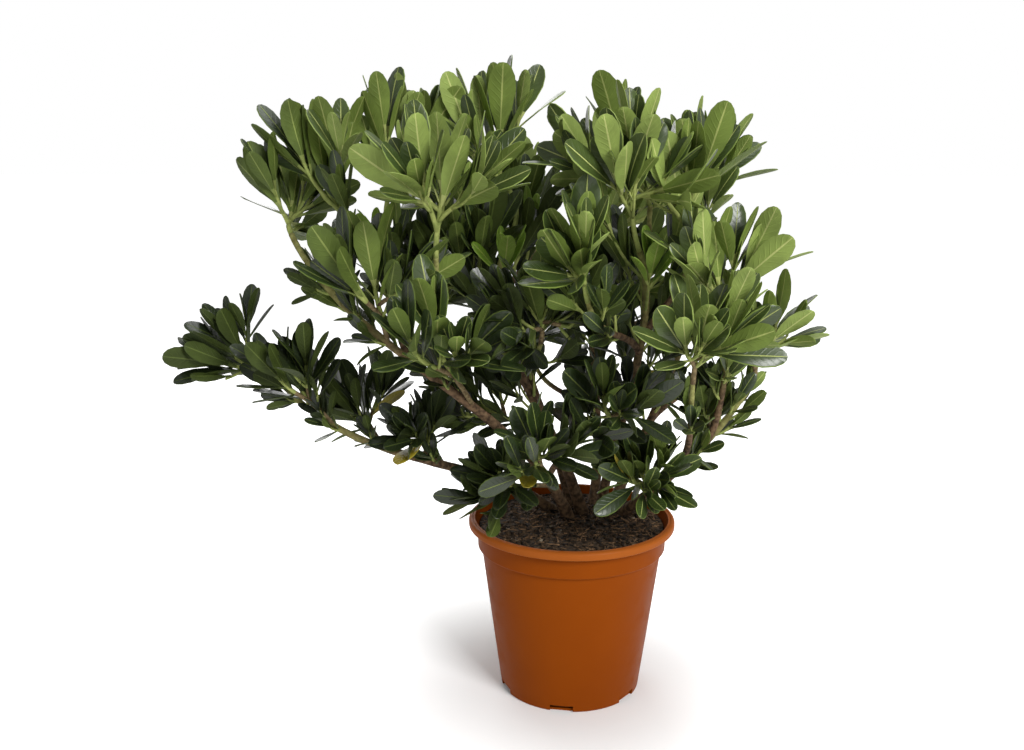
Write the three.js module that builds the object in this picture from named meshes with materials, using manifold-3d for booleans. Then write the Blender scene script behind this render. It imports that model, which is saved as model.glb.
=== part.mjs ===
// Potted Japanese mock orange: a many-stemmed evergreen shrub in a plastic nursery pot.
// Millimetres, +Z up. The origin is the centre of the pot's underside, X is the plant's right
// and Y its back.

import * as THREE from 'three';
import { mergeVertices } from 'three/addons/utils/BufferGeometryUtils.js';
import Module from 'manifold-3d';

const wasm = await Module();
wasm.setup();
const { Manifold, Mesh } = wasm;

// The clearance that neighbouring pieces keep
const CLEAR = 0.3;
const ROUNDING = 0.02;
const SIMPLIFY = 0.02;
const MERGE_STEPS = [1e-3, 1e-4];

// The pot
const POT_HEIGHT = 242;
const POT_SIDES = 32;
const BASE_RADIUS = 96;
const SHOULDER_RADIUS = 121.8;
const SHOULDER_BOTTOM = 195;
const SHOULDER_TOP = 203;
const COLLAR_RADIUS = 127.5;
const LIP_BOTTOM = 231;
const LIP_RADIUS = 140;
const MOUTH_RADIUS = 131;
const COLLAR_SPREAD = 0.8;
const LIP_ROUND = 2;
const LIP_CROWN = 2.5;
const EDGE_ROUND = 1.5;
const WALL = 2;
const FLOOR = 3;
const STACKING_STEP = 1;
const WALL_LEAN = (SHOULDER_RADIUS - BASE_RADIUS) / SHOULDER_BOTTOM;
const NOTCH_COUNT = 6;
const NOTCH_WIDTH = 31;
const NOTCH_HEIGHT = 9;
const NOTCH_DEPTH = 5;
const FIRST_NOTCH_DEGREES = 264;

// The soil
const SOIL_TOP = 235;
const SOIL_EDGE = 232;
const SOIL_FLAT_RADIUS = 104;
const SOIL_SIDES = 16;
const WALL_PLAY = 0.1;

// The limbs
const STEM_SIDES = 7;
const BOUGH_SIDES = 5;
const STEP_LENGTH = 60;
const STEM_FOOT_RADIUS = 7.4;
const STEM_TIP_RADIUS = 3.6;
const STEM_SPARE = 12;
const FLARE = 0.4;
const FLARE_HEIGHT = 14;
const BOUGH_FOOT_RADIUS = 4.8;
const BOUGH_TIP_RADIUS = 3.1;
const BOUGH_LEAVE = 0.35;
const BOUGH_ARRIVE = 0.4;
const BOUGH_FOLLOW_STEM = 0.5;
const BOUGH_AIM = 0.6;
const BOUGH_RISE = 0.7;

// The twigs
const TWIG_SIDES = 3;
const TWIG_FOOT_RADIUS = 3.6;
const TWIG_FORK_RADIUS = 3.3;
const TWIG_TIP_RADIUS = 3;
const TWIG_STEP_LENGTH = 60;
const FIRST_FORK = 0.2;
const LAST_FORK = 0.75;
const SHOOT_BEND = 0.35;
const SHOOT_FOLLOW = 0.2;
const SHOOT_AIM = 0.5;
const SHOOT_RISE = 0.6;
const SHOOT_LEAN = 0.2;
const SHOOT_START = 0.3;
const SHOOT_STAGGER = 0.9;
const LIFT = 1;
const GOLDEN_ANGLE = THREE.MathUtils.degToRad(137.508);

// The leaves
const LEAF_LENGTH = 98;
const LEAF_HALF_WIDTH = 0.205;
const LEAF_TIP_HALF_WIDTH = 0.115;
const LEAF_WIDEST_AT = 0.62;
const LEAF_BEND = 0.12;
const LEAF_THICKNESS = 2.2;
const LEAVES_PER_SHOOT = 8;
const ROSETTE_DEPTH = 30;
const INNER_TILT = THREE.MathUtils.degToRad(10);
const LOW_OUTER_TILT = THREE.MathUtils.degToRad(48);
const HIGH_OUTER_TILT = THREE.MathUtils.degToRad(33);
const LEAST_RISE = -0.3;
const LOW_CROWN = 380;
const HIGH_CROWN = 640;
const LOW_LEAF_SHARE = 0.76;
const CELL_MARGIN = 0.4;
const CELL_RISE = 32;
const LEAF_CROSSING = 0.15;
const TURN_PLAY = 0.3;
const TILT_PLAY = 0.25;
const SHORTEST_LEAF = 0.86;
const LEAF_PLAY = 0.22;
const CLOSED_TILT = 0.6;
const ROSETTE_SHARE = 0.75;
const RIDGE_AT = 0.56;

// Seeds of the draws
const SHOOT_SEED = 1;
const LEAF_SEED = 1000;
const SEED_STEP = 10;

const UP = new THREE.Vector3(0, 0, 1);

// Stems leave the soil in a tight clump and arch apart. Each row is a name, the foot on the
// soil, two bends that pull the curve, and the tip.
const STEMS = [
  ['left_stem', [-2, 20], [-50, -75, 415], [-250, -205, 490], [-355, -60, 627]],
  ['low_left_stem', [-18, 46], [-115, 25, 324], [-260, -90, 320], [-372, -60, 430]],
  ['centre_stem', [18, 34], [-45, 10, 450], [-145, -45, 490], [-80, 5, 630]],
  ['right_centre_stem', [40, 44], [45, -15, 345], [115, -60, 520], [78, -92, 612]],
  ['right_stem', [64, 48], [115, -35, 300], [160, -70, 340], [225, -60, 442]],
  ['back_right_stem', [56, 74], [95, 100, 320], [160, 110, 445], [175, 85, 560]],
  ['back_left_stem', [4, 60], [-30, 85, 340], [-100, 155, 495], [-140, 160, 600]],
  ['back_stem', [30, 74], [50, 120, 325], [20, 210, 480], [15, 215, 570]],
];

// Boughs leave a stem part of the way up. Each row is a name, the stem, the share of the stem's
// length where the bough leaves it, and the tip.
const BOUGHS = [
  ['left_upper_bough', 'left_stem', 0.6, [-240, -30, 640]],
  ['left_front_bough', 'left_stem', 0.5, [-160, -160, 610]],
  ['front_low_bough', 'centre_stem', 0.14, [-38, -130, 350]],
  ['centre_front_bough', 'centre_stem', 0.5, [-40, -100, 500]],
  ['centre_back_bough', 'centre_stem', 0.72, [-42, 110, 620]],
  ['bright_bough', 'right_centre_stem', 0.62, [16, -160, 560]],
  ['right_top_bough', 'right_centre_stem', 0.8, [95, -5, 660]],
  ['right_outer_bough', 'right_centre_stem', 0.66, [140, -95, 605]],
  ['right_upper_bough', 'right_stem', 0.72, [185, -115, 505]],
  ['right_face_bough', 'right_stem', 0.5, [140, -160, 465]],
  ['inner_right_bough', 'back_right_stem', 0.45, [75, 60, 490]],
  ['back_right_bough', 'back_right_stem', 0.4, [190, 160, 420]],
  ['back_left_bough', 'back_left_stem', 0.5, [-190, 120, 470]],
  ['back_low_bough', 'back_stem', 0.35, [-60, 215, 410]],
];

// Masses of foliage. Each row is a name, the limb, the share of its length where the mass
// stands, the heart where the shoots' tips gather, how far they lie from it, and their number.
// A last value under 1 makes a mass lean outwards more.
const AT_TIP = 1;
const MASSES = [
  ['far_left_leaves', 'left_stem', AT_TIP, [-372, 0, 666], 30, 3],
  ['left_back_leaves', 'left_upper_bough', 0.62, [-332, -10, 720], 30, 3],
  ['left_upper_leaves', 'left_upper_bough', AT_TIP, [-228, 20, 740], 36, 3],
  ['left_front_leaves', 'left_front_bough', AT_TIP, [-152, -172, 692], 44, 4],
  ['left_face_leaves', 'left_stem', 0.66, [-240, -140, 576], 42, 3],
  ['left_middle_leaves', 'left_stem', 0.42, [-160, -190, 518], 46, 3],
  ['low_left_tip_leaves', 'low_left_stem', AT_TIP, [-442, -60, 470], 22, 3, 0.1],
  ['low_left_outer_leaves', 'low_left_stem', 0.82, [-356, -90, 456], 26, 3, 0.6],
  ['low_left_leaves', 'low_left_stem', 0.66, [-290, -4, 410], 34, 3, 0.5],
  ['low_inner_left_leaves', 'low_left_stem', 0.52, [-190, -34, 378], 24, 2, 0.9],
  ['rim_leaves', 'left_stem', 0.12, [-108, -100, 322], 34, 3, 0.3],
  ['front_low_leaves', 'front_low_bough', AT_TIP, [-40, -182, 386], 42, 3],
  ['front_middle_leaves', 'right_centre_stem', 0.4, [36, -150, 436], 46, 3],
  ['centre_front_leaves', 'centre_front_bough', AT_TIP, [-40, -126, 545], 46, 3],
  ['bright_leaves', 'bright_bough', AT_TIP, [9, -186, 612], 22, 2],
  ['top_centre_leaves', 'centre_stem', AT_TIP, [-124, 36, 752], 30, 3],
  ['centre_back_leaves', 'centre_back_bough', AT_TIP, [-100, 130, 636], 34, 3],
  ['right_top_front_leaves', 'right_centre_stem', AT_TIP, [66, -128, 708], 40, 3],
  ['right_top_leaves', 'right_top_bough', AT_TIP, [32, 8, 728], 34, 3],
  ['right_high_leaves', 'right_outer_bough', AT_TIP, [116, -100, 700], 38, 3],
  ['far_right_top_leaves', 'back_right_stem', AT_TIP, [156, 60, 714], 28, 3],
  ['right_upper_leaves', 'right_upper_bough', AT_TIP, [168, -112, 602], 36, 3],
  ['right_outer_leaves', 'right_stem', AT_TIP, [222, -62, 504], 38, 4],
  ['right_face_leaves', 'right_face_bough', AT_TIP, [142, -184, 520], 36, 3],
  ['right_low_leaves', 'right_stem', 0.66, [184, -44, 410], 24, 2],
  ['low_right_leaves', 'right_stem', 0.3, [88, -84, 332], 24, 3, 0.6],
  ['inner_left_leaves', 'centre_stem', 0.6, [-150, -20, 590], 48, 3],
  ['inner_middle_leaves', 'centre_stem', 0.22, [-136, 34, 396], 54, 4],
  ['inner_right_leaves', 'inner_right_bough', AT_TIP, [80, 50, 560], 48, 3],
  ['back_right_leaves', 'back_right_bough', AT_TIP, [205, 160, 480], 52, 4],
  ['back_top_leaves', 'back_stem', AT_TIP, [84, 235, 652], 52, 4],
  ['back_left_top_leaves', 'back_left_stem', AT_TIP, [-165, 180, 665], 52, 4],
  ['back_left_leaves', 'back_left_bough', AT_TIP, [-225, 135, 530], 50, 3],
  ['back_low_leaves', 'back_low_bough', AT_TIP, [-80, 245, 470], 52, 4],
  ['back_middle_leaves', 'back_stem', 0.55, [85, 225, 500], 48, 3],
];

const vector = (place) => new THREE.Vector3(...place);

// A repeatable draw of numbers from 0 to 1
function drawer(seed) {
  let state = seed >>> 0;
  return () => {
    state = (Math.imul(state, 1664525) + 1013904223) >>> 0;
    return state / 4294967296;
  };
}

// Three.js geometry and manifold solids, one made from the other
function solidOf(geometry) {
  const bare = geometry.index ? geometry.toNonIndexed() : geometry.clone();
  bare.deleteAttribute('normal');
  bare.deleteAttribute('uv');
  const merged = mergeVertices(bare, 1e-4);
  return new Manifold(new Mesh({
    numProp: 3,
    vertProperties: new Float32Array(merged.attributes.position.array),
    triVerts: new Uint32Array(merged.index.array),
  }));
}

function geometryOf(solid) {
  const mesh = solid.getMesh();
  const geometry = new THREE.BufferGeometry();
  geometry.setAttribute('position', new THREE.BufferAttribute(new Float32Array(mesh.vertProperties), 3));
  geometry.setIndex(new THREE.BufferAttribute(new Uint32Array(mesh.triVerts), 1));
  geometry.computeVertexNormals();
  return geometry;
}

// Fused pieces keep their largest body: loose scraps and sealed hollows are dropped
function fuse(solids) {
  const bodies = Manifold.union(solids).decompose();
  const largest = bodies.reduce((best, body) => (body.volume() > best.volume() ? body : best));
  return largest.simplify(SIMPLIFY);
}

// Whether a body is still closed once corners that lie within a step of each other are one:
// every edge between two faces then runs once each way
function staysClosed(solid) {
  const geometry = geometryOf(solid);
  geometry.deleteAttribute('normal');
  return MERGE_STEPS.every((step) => {
    const corners = mergeVertices(geometry, step).index.array;
    const edges = new Set();
    let count = 0;
    for (let i = 0; i < corners.length; i += 3) {
      const face = [corners[i], corners[i + 1], corners[i + 2]];
      if (new Set(face).size < face.length) {
        return false;
      }
      face.forEach((corner, k) => edges.add(`${corner} ${face[(k + 1) % 3]}`));
      count += face.length;
    }
    return edges.size === count
      && [...edges].every((edge) => edges.has(edge.split(' ').reverse().join(' ')));
  });
}

// Twigs and leaves fused, without the leaf that keeps the body from closing, where one does
function fuseMass(twigs, leaves) {
  const whole = fuse([...twigs, ...leaves]);
  if (staysClosed(whole)) {
    return whole;
  }
  for (const leaf of leaves) {
    const fewer = leaves.filter((other) => other !== leaf);
    const body = fuse([...twigs, ...fewer]);
    if (staysClosed(body)) {
      return body;
    }
  }
  throw new Error('no single leaf keeps the body from closing');
}

// A turned body from a half outline of [radius, height] points that starts and ends on the axis
function turned(outline, sides) {
  const points = outline.map(([radius, height]) => new THREE.Vector2(radius, height));
  const geometry = new THREE.LatheGeometry(points, sides);
  geometry.rotateX(Math.PI / 2);
  return solidOf(geometry);
}

// A limb's rings stand on its curve, so that its heart runs straight from ring to ring
function stepCount(curve, stepLength) {
  return Math.max(2, Math.round(curve.getLength() / stepLength));
}

function heartAt(curve, share, stepLength) {
  const steps = stepCount(curve, stepLength);
  const ring = Math.min(steps - 1, Math.floor(share * steps));
  return curve.getPoint(ring / steps).lerp(curve.getPoint((ring + 1) / steps), share * steps - ring);
}

// A limb of round section along a curve. radiusAt gives its radius at a share of its length.
function limbSolid(curve, radiusAt, sides, stepLength, extra = 0) {
  const steps = stepCount(curve, stepLength);
  const geometry = new THREE.CylinderGeometry(1, 1, 1, sides, steps);
  geometry.rotateX(Math.PI / 2);
  const rings = limbRings(curve, steps);
  const position = geometry.attributes.position;
  for (let i = 0; i < position.count; i += 1) {
    const share = position.getZ(i) + 0.5;
    const ring = rings[Math.round(share * steps)];
    const radius = radiusAt(share) + extra;
    const place = ring.centre.clone()
      .addScaledVector(ring.side, position.getX(i) * radius)
      .addScaledVector(ring.other, position.getY(i) * radius);
    position.setXYZ(i, place.x, place.y, place.z);
  }
  return solidOf(geometry);
}

// Centres and cross directions along a curve, carried on from ring to ring without twist
function limbRings(curve, steps) {
  const rings = [];
  let side = new THREE.Vector3(1, 0, 0);
  for (let k = 0; k <= steps; k += 1) {
    const along = curve.getTangent(k / steps).normalize();
    side = side.clone().addScaledVector(along, -side.dot(along)).normalize();
    rings.push({
      centre: curve.getPoint(k / steps),
      side,
      other: new THREE.Vector3().crossVectors(along, side),
      along,
    });
  }
  return rings;
}

// The pot: floor, leaning wall, shoulder, collar and rolled lip, with drain notches in its foot
function potSolid() {
  const collarTop = COLLAR_RADIUS + COLLAR_SPREAD;
  const pot = turned([
    [0, 0],
    [BASE_RADIUS - EDGE_ROUND, 0],
    [BASE_RADIUS, EDGE_ROUND],
    [SHOULDER_RADIUS, SHOULDER_BOTTOM],
    [COLLAR_RADIUS, SHOULDER_TOP],
    [collarTop, LIP_BOTTOM],
    [LIP_RADIUS - LIP_ROUND, LIP_BOTTOM],
    [LIP_RADIUS, LIP_BOTTOM + LIP_ROUND],
    [LIP_RADIUS, POT_HEIGHT - LIP_ROUND - LIP_CROWN],
    [LIP_RADIUS - LIP_CROWN, POT_HEIGHT],
    [MOUTH_RADIUS, POT_HEIGHT],
    [MOUTH_RADIUS - EDGE_ROUND, POT_HEIGHT - 2 * EDGE_ROUND],
    [collarTop - WALL, LIP_BOTTOM - LIP_ROUND],
    [COLLAR_RADIUS - WALL, SHOULDER_TOP + STACKING_STEP],
    [SHOULDER_RADIUS - WALL, SHOULDER_BOTTOM + STACKING_STEP],
    [BASE_RADIUS - WALL + WALL_LEAN * FLOOR, FLOOR],
    [0, FLOOR],
  ], POT_SIDES);
  const notches = [];
  for (let k = 0; k < NOTCH_COUNT; k += 1) {
    const notch = new THREE.BoxGeometry(2 * NOTCH_DEPTH, NOTCH_WIDTH, 2 * NOTCH_HEIGHT);
    notch.translate(BASE_RADIUS, 0, 0);
    notch.rotateZ(THREE.MathUtils.degToRad(FIRST_NOTCH_DEGREES) + (k * 2 * Math.PI) / NOTCH_COUNT);
    notches.push(solidOf(notch));
  }
  return pot.subtract(Manifold.union(notches));
}

// The soil fills the pot, flat where the stems stand and lower at the wall
function soilSolid() {
  const gap = WALL + CLEAR + WALL_PLAY;
  return turned([
    [0, FLOOR + CLEAR],
    [BASE_RADIUS - NOTCH_DEPTH - WALL, FLOOR + CLEAR],
    [BASE_RADIUS + WALL_LEAN * 2 * NOTCH_HEIGHT - gap, 2 * NOTCH_HEIGHT],
    [SHOULDER_RADIUS - gap, SHOULDER_BOTTOM + STACKING_STEP],
    [COLLAR_RADIUS - gap, SHOULDER_TOP + STACKING_STEP],
    [COLLAR_RADIUS - gap, SOIL_EDGE],
    [SOIL_FLAT_RADIUS, SOIL_TOP],
    [0, SOIL_TOP],
  ], SOIL_SIDES);
}

// Stems thin from a flared foot to the tip
function stemRadius(length) {
  return (share) => {
    const height = Math.max(0, share * length - STEM_SPARE);
    const taper = THREE.MathUtils.lerp(STEM_FOOT_RADIUS, STEM_TIP_RADIUS, share);
    return taper * (1 + FLARE * Math.exp(-height / FLARE_HEIGHT));
  };
}

function makeStem([, foot, firstBend, secondBend, tip]) {
  const root = new THREE.Vector3(foot[0], foot[1], SOIL_TOP - STEM_SPARE);
  const curve = new THREE.CubicBezierCurve3(root, vector(firstBend), vector(secondBend), vector(tip));
  return { curve, radiusAt: stemRadius(curve.getLength()), sides: STEM_SIDES, parent: null };
}

// A bough starts at its stem's heart wood, swings out and turns up towards its tip
function makeBough([, from, at, end], limbs) {
  const stem = limbs.get(from);
  const start = stem.curve.getPoint(at);
  const tip = vector(end);
  const across = tip.clone().sub(start);
  const length = across.length();
  const leaving = stem.curve.getTangent(at).multiplyScalar(BOUGH_FOLLOW_STEM)
    .add(across.clone().divideScalar(length));
  const arriving = across.clone().multiplyScalar(BOUGH_AIM / length).addScaledVector(UP, BOUGH_RISE);
  const curve = new THREE.CubicBezierCurve3(
    start,
    start.clone().addScaledVector(leaving.normalize(), BOUGH_LEAVE * length),
    tip.clone().addScaledVector(arriving.normalize(), -BOUGH_ARRIVE * length),
    tip,
  );
  const radiusAt = (share) => THREE.MathUtils.lerp(BOUGH_FOOT_RADIUS, BOUGH_TIP_RADIUS, share);
  return { curve, radiusAt, sides: BOUGH_SIDES, parent: stem };
}

// A limb's solid, cut at its foot to stay clear of the limb that carries it
function solidLimb(limb) {
  const solid = limbSolid(limb.curve, limb.radiusAt, limb.sides, STEP_LENGTH);
  if (!limb.parent) {
    return flatFoot(solid);
  }
  return cutClear(solid, limb.parent);
}

function cutClear(solid, limb) {
  const extra = CLEAR / Math.cos(Math.PI / limb.sides);
  return fuse([solid.subtract(limbSolid(limb.curve, limb.radiusAt, limb.sides, STEP_LENGTH, extra))]);
}

// A stem is cut level where it meets the soil
function flatFoot(solid) {
  return solid.trimByPlane([0, 0, 1], SOIL_TOP + CLEAR);
}

// The shoots of one mass: a leader from the limb, and side shoots that leave it in turn and
// arch out and up. Each ends in a rosette.
function massShoots(mass, seed, limbs) {
  const { limbName, at, heart, span, shootCount, lift } = mass;
  const draw = drawer(seed);
  const limb = limbs.get(limbName);
  const atTip = at === AT_TIP;
  const along = limb.curve.getTangent(at).normalize();
  const base = limb.curve.getPoint(at);
  if (atTip) {
    base.addScaledVector(along, CLEAR);
  }
  const across = heart.clone().sub(base);
  const length = across.length();
  const axis = across.clone().divideScalar(length).addScaledVector(UP, lift).normalize();
  const first = new THREE.Vector3(1, 0, 0).addScaledVector(axis, -axis.x).normalize();
  const second = new THREE.Vector3().crossVectors(axis, first);
  const phase = draw() * 2 * Math.PI;
  const shoots = [];
  for (let i = 0; i < shootCount; i += 1) {
    const turn = phase + i * GOLDEN_ANGLE;
    const out = span * Math.sqrt((i + SHOOT_START) / shootCount);
    const rise = (draw() - 0.5) * span * SHOOT_STAGGER;
    const outward = first.clone().multiplyScalar(Math.cos(turn)).addScaledVector(second, Math.sin(turn));
    const tip = heart.clone().addScaledVector(outward, out).addScaledVector(axis, rise);
    const arriving = axis.clone().multiplyScalar(SHOOT_AIM).addScaledVector(UP, SHOOT_RISE * lift)
      .addScaledVector(outward, SHOOT_LEAN * (out / span)).normalize();
    const leader = i === 0;
    const forkAt = THREE.MathUtils.lerp(FIRST_FORK, LAST_FORK, i / shootCount);
    const from = leader ? base : heartAt(shoots[0].curve, forkAt, TWIG_STEP_LENGTH);
    const reach = tip.distanceTo(from);
    const leaving = leader && atTip
      ? along.clone()
      : tip.clone().sub(from).normalize().addScaledVector(axis, SHOOT_FOLLOW);
    shoots.push({
      leader,
      curve: new THREE.CubicBezierCurve3(
        from,
        from.clone().addScaledVector(leaving.normalize(), reach * SHOOT_BEND),
        tip.clone().addScaledVector(arriving, -reach * SHOOT_BEND),
        tip,
      ),
      from: leader ? TWIG_FOOT_RADIUS : TWIG_FORK_RADIUS,
      to: TWIG_TIP_RADIUS,
      phase: draw() * 2 * Math.PI,
    });
  }
  return shoots;
}

function shootSolid(shoot) {
  const radiusAt = (share) => THREE.MathUtils.lerp(shoot.from, shoot.to, share);
  return limbSolid(shoot.curve, radiusAt, TWIG_SIDES, TWIG_STEP_LENGTH);
}

// Where the leaves of a shoot's rosette stand, from the erect inner ones to the spreading
// outer ones. Each has a second, more upright place to try. None hangs.
function rosetteLeaves(shoot, draw) {
  const reach = shoot.curve.getLength();
  const lift = THREE.MathUtils.smoothstep(shoot.curve.v3.z, LOW_CROWN, HIGH_CROWN);
  const outerTilt = THREE.MathUtils.lerp(LOW_OUTER_TILT, HIGH_OUTER_TILT, lift);
  const grown = THREE.MathUtils.lerp(LOW_LEAF_SHARE, 1, lift);
  const leaves = [];
  for (let k = 0; k < LEAVES_PER_SHOOT; k += 1) {
    const age = (k + 0.5) / LEAVES_PER_SHOOT;
    const share = 1 - Math.min(ROSETTE_SHARE, (age * ROSETTE_DEPTH) / reach);
    const root = heartAt(shoot.curve, share, TWIG_STEP_LENGTH);
    const axis = shoot.curve.getTangent(share).normalize();
    const side = new THREE.Vector3(1, 0, 0).addScaledVector(axis, -axis.x).normalize();
    const other = new THREE.Vector3().crossVectors(axis, side);
    const turn = shoot.phase + k * GOLDEN_ANGLE + (draw() - 0.5) * TURN_PLAY;
    const spread = THREE.MathUtils.lerp(INNER_TILT, outerTilt, age) + (draw() - 0.5) * TILT_PLAY;
    const length = LEAF_LENGTH * (SHORTEST_LEAF + LEAF_PLAY * draw()) * grown;
    const outward = side.multiplyScalar(Math.cos(turn)).addScaledVector(other, Math.sin(turn));
    leaves.push([spread, spread * CLOSED_TILT].map((tilt) => ({
      root,
      along: axis.clone().multiplyScalar(Math.cos(tilt)).addScaledVector(outward, Math.sin(tilt)),
      face: axis.clone().multiplyScalar(Math.sin(tilt)).addScaledVector(outward, -Math.cos(tilt)),
      length,
    })).filter((place) => place.along.z > LEAST_RISE));
  }
  return leaves;
}

// A leaf has five outline points, from its root in the twig's heart past its widest place to
// a blunt tip, and one raised point on its ridge
function leafSolid(leaf) {
  const { root, along, face, length } = leaf;
  const side = new THREE.Vector3().crossVectors(along, face);
  const at = (share, across, lift) => root.clone()
    .addScaledVector(along, share * length)
    .addScaledVector(side, across * length)
    .addScaledVector(face, lift - LEAF_BEND * share * share * length);
  const corners = [
    root,
    at(LEAF_WIDEST_AT, LEAF_HALF_WIDTH, 0),
    at(1, LEAF_TIP_HALF_WIDTH, 0),
    at(1, -LEAF_TIP_HALF_WIDTH, 0),
    at(LEAF_WIDEST_AT, -LEAF_HALF_WIDTH, 0),
    at(RIDGE_AT, 0, LEAF_THICKNESS),
  ];
  const faces = [0, 4, 1, 1, 4, 3, 1, 3, 2, 5, 0, 1, 5, 1, 2, 5, 2, 3, 5, 3, 4, 5, 4, 0];
  const geometry = new THREE.BufferGeometry();
  geometry.setAttribute('position', new THREE.Float32BufferAttribute(corners.flatMap((c) => c.toArray()), 3));
  geometry.setIndex(faces);
  return { solid: solidOf(geometry), corners };
}

// Each mass keeps to the space that lies nearer to its own site than to any other mass's
function insideCell(point, sites, own) {
  const site = sites[own];
  return sites.every((rival, k) => {
    if (k === own) {
      return true;
    }
    const apart = rival.clone().sub(site);
    const middle = site.clone().add(rival).multiplyScalar(0.5);
    return point.clone().sub(middle).dot(apart.normalize()) < -CELL_MARGIN;
  });
}

function boxesNear(a, b, reach) {
  const [p, q] = [a.boundingBox(), b.boundingBox()];
  return [0, 1, 2].every((k) => p.min[k] - reach < q.max[k] && q.min[k] - reach < p.max[k]);
}

function touches(solid, others) {
  return others.some((other) => boxesNear(solid, other, CLEAR)
    && solid.minGap(other, 2 * CLEAR) < CLEAR - ROUNDING);
}

function crosses(solid, others) {
  return others.some((other) => boxesNear(solid, other, 0)
    && solid.intersect(other).volume() > LEAF_CROSSING);
}

// Finishes
const material = (color, roughness) => new THREE.MeshStandardMaterial({ color, roughness, metalness: 0 });
const POT_COLOR = 0xa8552a;
const SOIL_COLOR = 0x2c211a;
const BARK_COLOR = 0x6f5a42;
const LIT_LEAF = new THREE.Color(0x6f9150);
const SHADED_LEAF = new THREE.Color(0x2c4a2a);

function meshOf(name, solid, finish) {
  const mesh = new THREE.Mesh(geometryOf(solid), finish);
  mesh.name = name;
  return mesh;
}

const limbs = new Map();
for (const row of STEMS) {
  limbs.set(row[0], makeStem(row));
}
for (const row of BOUGHS) {
  limbs.set(row[0], makeBough(row, limbs));
}

const pot = potSolid();
const soil = soilSolid();
const limbSolids = new Map([...limbs].map(([name, limb]) => [name, solidLimb(limb)]));

// Twigs first, so that every mass's leaves can stay clear of every other mass's twigs
const masses = MASSES.map(([name, limbName, at, place, span, shootCount, lift = LIFT]) => (
  { name, limbName, at, heart: vector(place), span, shootCount, lift }
));
const sites = masses.map((mass) => mass.heart.clone().addScaledVector(UP, CELL_RISE));
const obstacles = [pot, soil, ...limbSolids.values()];
const twigsSoFar = [];
masses.forEach((mass, index) => {
  mass.kept = [];
  for (const shoot of massShoots(mass, SHOOT_SEED + index, limbs)) {
    let solid = shootSolid(shoot);
    if (shoot.leader && mass.at !== AT_TIP) {
      solid = cutClear(solid, limbs.get(mass.limbName));
    }
    const blocked = touches(solid, [...obstacles, ...twigsSoFar]);
    if (blocked && shoot.leader) {
      throw new Error(`${mass.name} has no room for its leader`);
    }
    if (!blocked) {
      mass.kept.push({ shoot, solid });
    }
  }
  twigsSoFar.push(...mass.kept.map((entry) => entry.solid));
});

const group = new THREE.Group();
group.add(meshOf('pot', pot, material(POT_COLOR, 0.5)));
group.add(meshOf('soil', soil, material(SOIL_COLOR, 0.95)));
for (const [name, solid] of limbSolids) {
  group.add(meshOf(name, solid, material(BARK_COLOR, 0.85)));
}
masses.forEach(({ name, heart, kept }, index) => {
  const twigs = kept.map((entry) => entry.solid);
  const otherTwigs = twigsSoFar.filter((twig) => !twigs.includes(twig));
  const leaves = [];
  kept.forEach(({ shoot }, own) => {
    const strangers = twigs.filter((_, k) => k !== own);
    for (const places of rosetteLeaves(shoot, drawer(LEAF_SEED + index * SEED_STEP + own))) {
      for (const place of places) {
        const { solid, corners } = leafSolid(place);
        const inside = corners.every((corner) => insideCell(corner, sites, index));
        const clear = inside && !touches(solid, [...obstacles, ...otherTwigs]);
        if (clear && !crosses(solid, [...strangers, ...leaves])) {
          leaves.push(solid);
          break;
        }
      }
    }
  });
  const lit = THREE.MathUtils.smoothstep(heart.z, LOW_CROWN, HIGH_CROWN);
  const color = SHADED_LEAF.clone().lerp(LIT_LEAF, lit);
  group.add(meshOf(name, fuseMass(twigs, leaves), material(color, 0.5)));
});

export default group;
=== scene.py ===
# %% [markdown]
# A potted mock orange: an evergreen shrub of arching stems and rosettes of leathery leaves in a
# plastic nursery pot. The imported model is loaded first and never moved. It gives the frame in
# which every piece is made, and the box in which the finished plant has to stay.

# %% Load the fixed frame
import math

import bpy
import numpy as np
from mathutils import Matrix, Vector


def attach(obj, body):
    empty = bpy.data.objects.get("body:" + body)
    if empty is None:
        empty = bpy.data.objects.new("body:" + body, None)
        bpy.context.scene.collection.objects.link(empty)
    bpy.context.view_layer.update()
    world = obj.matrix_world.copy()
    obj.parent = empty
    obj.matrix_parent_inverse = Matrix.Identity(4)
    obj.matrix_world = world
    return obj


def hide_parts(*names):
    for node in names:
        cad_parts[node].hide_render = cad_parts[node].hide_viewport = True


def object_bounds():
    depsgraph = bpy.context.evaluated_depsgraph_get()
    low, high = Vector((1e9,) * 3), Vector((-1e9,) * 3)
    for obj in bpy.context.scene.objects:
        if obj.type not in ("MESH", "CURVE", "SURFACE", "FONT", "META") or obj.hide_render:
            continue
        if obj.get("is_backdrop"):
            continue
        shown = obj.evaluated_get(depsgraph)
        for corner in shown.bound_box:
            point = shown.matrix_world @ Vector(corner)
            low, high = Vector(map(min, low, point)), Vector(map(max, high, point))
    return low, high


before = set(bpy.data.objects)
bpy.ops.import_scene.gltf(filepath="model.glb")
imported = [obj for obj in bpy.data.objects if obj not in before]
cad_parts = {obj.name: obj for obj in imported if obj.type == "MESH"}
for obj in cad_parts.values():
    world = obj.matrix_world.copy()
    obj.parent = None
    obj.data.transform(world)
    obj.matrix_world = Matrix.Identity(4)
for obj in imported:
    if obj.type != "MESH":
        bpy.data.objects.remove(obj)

MM = 0.001
CAD_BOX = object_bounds()
print("frame of", len(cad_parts), "nodes, box", [list(corner) for corner in CAD_BOX])

# %% [markdown]
# Every piece ends in the same way: it rides on the one body, and the solids that it stands for are
# hidden. An operator acts on all that is selected, and the loaded solids are selected, so
# everything is deselected before a new piece is begun.

# %% How a piece is begun and finished
def begin():
    bpy.ops.object.select_all(action="DESELECT")


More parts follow.
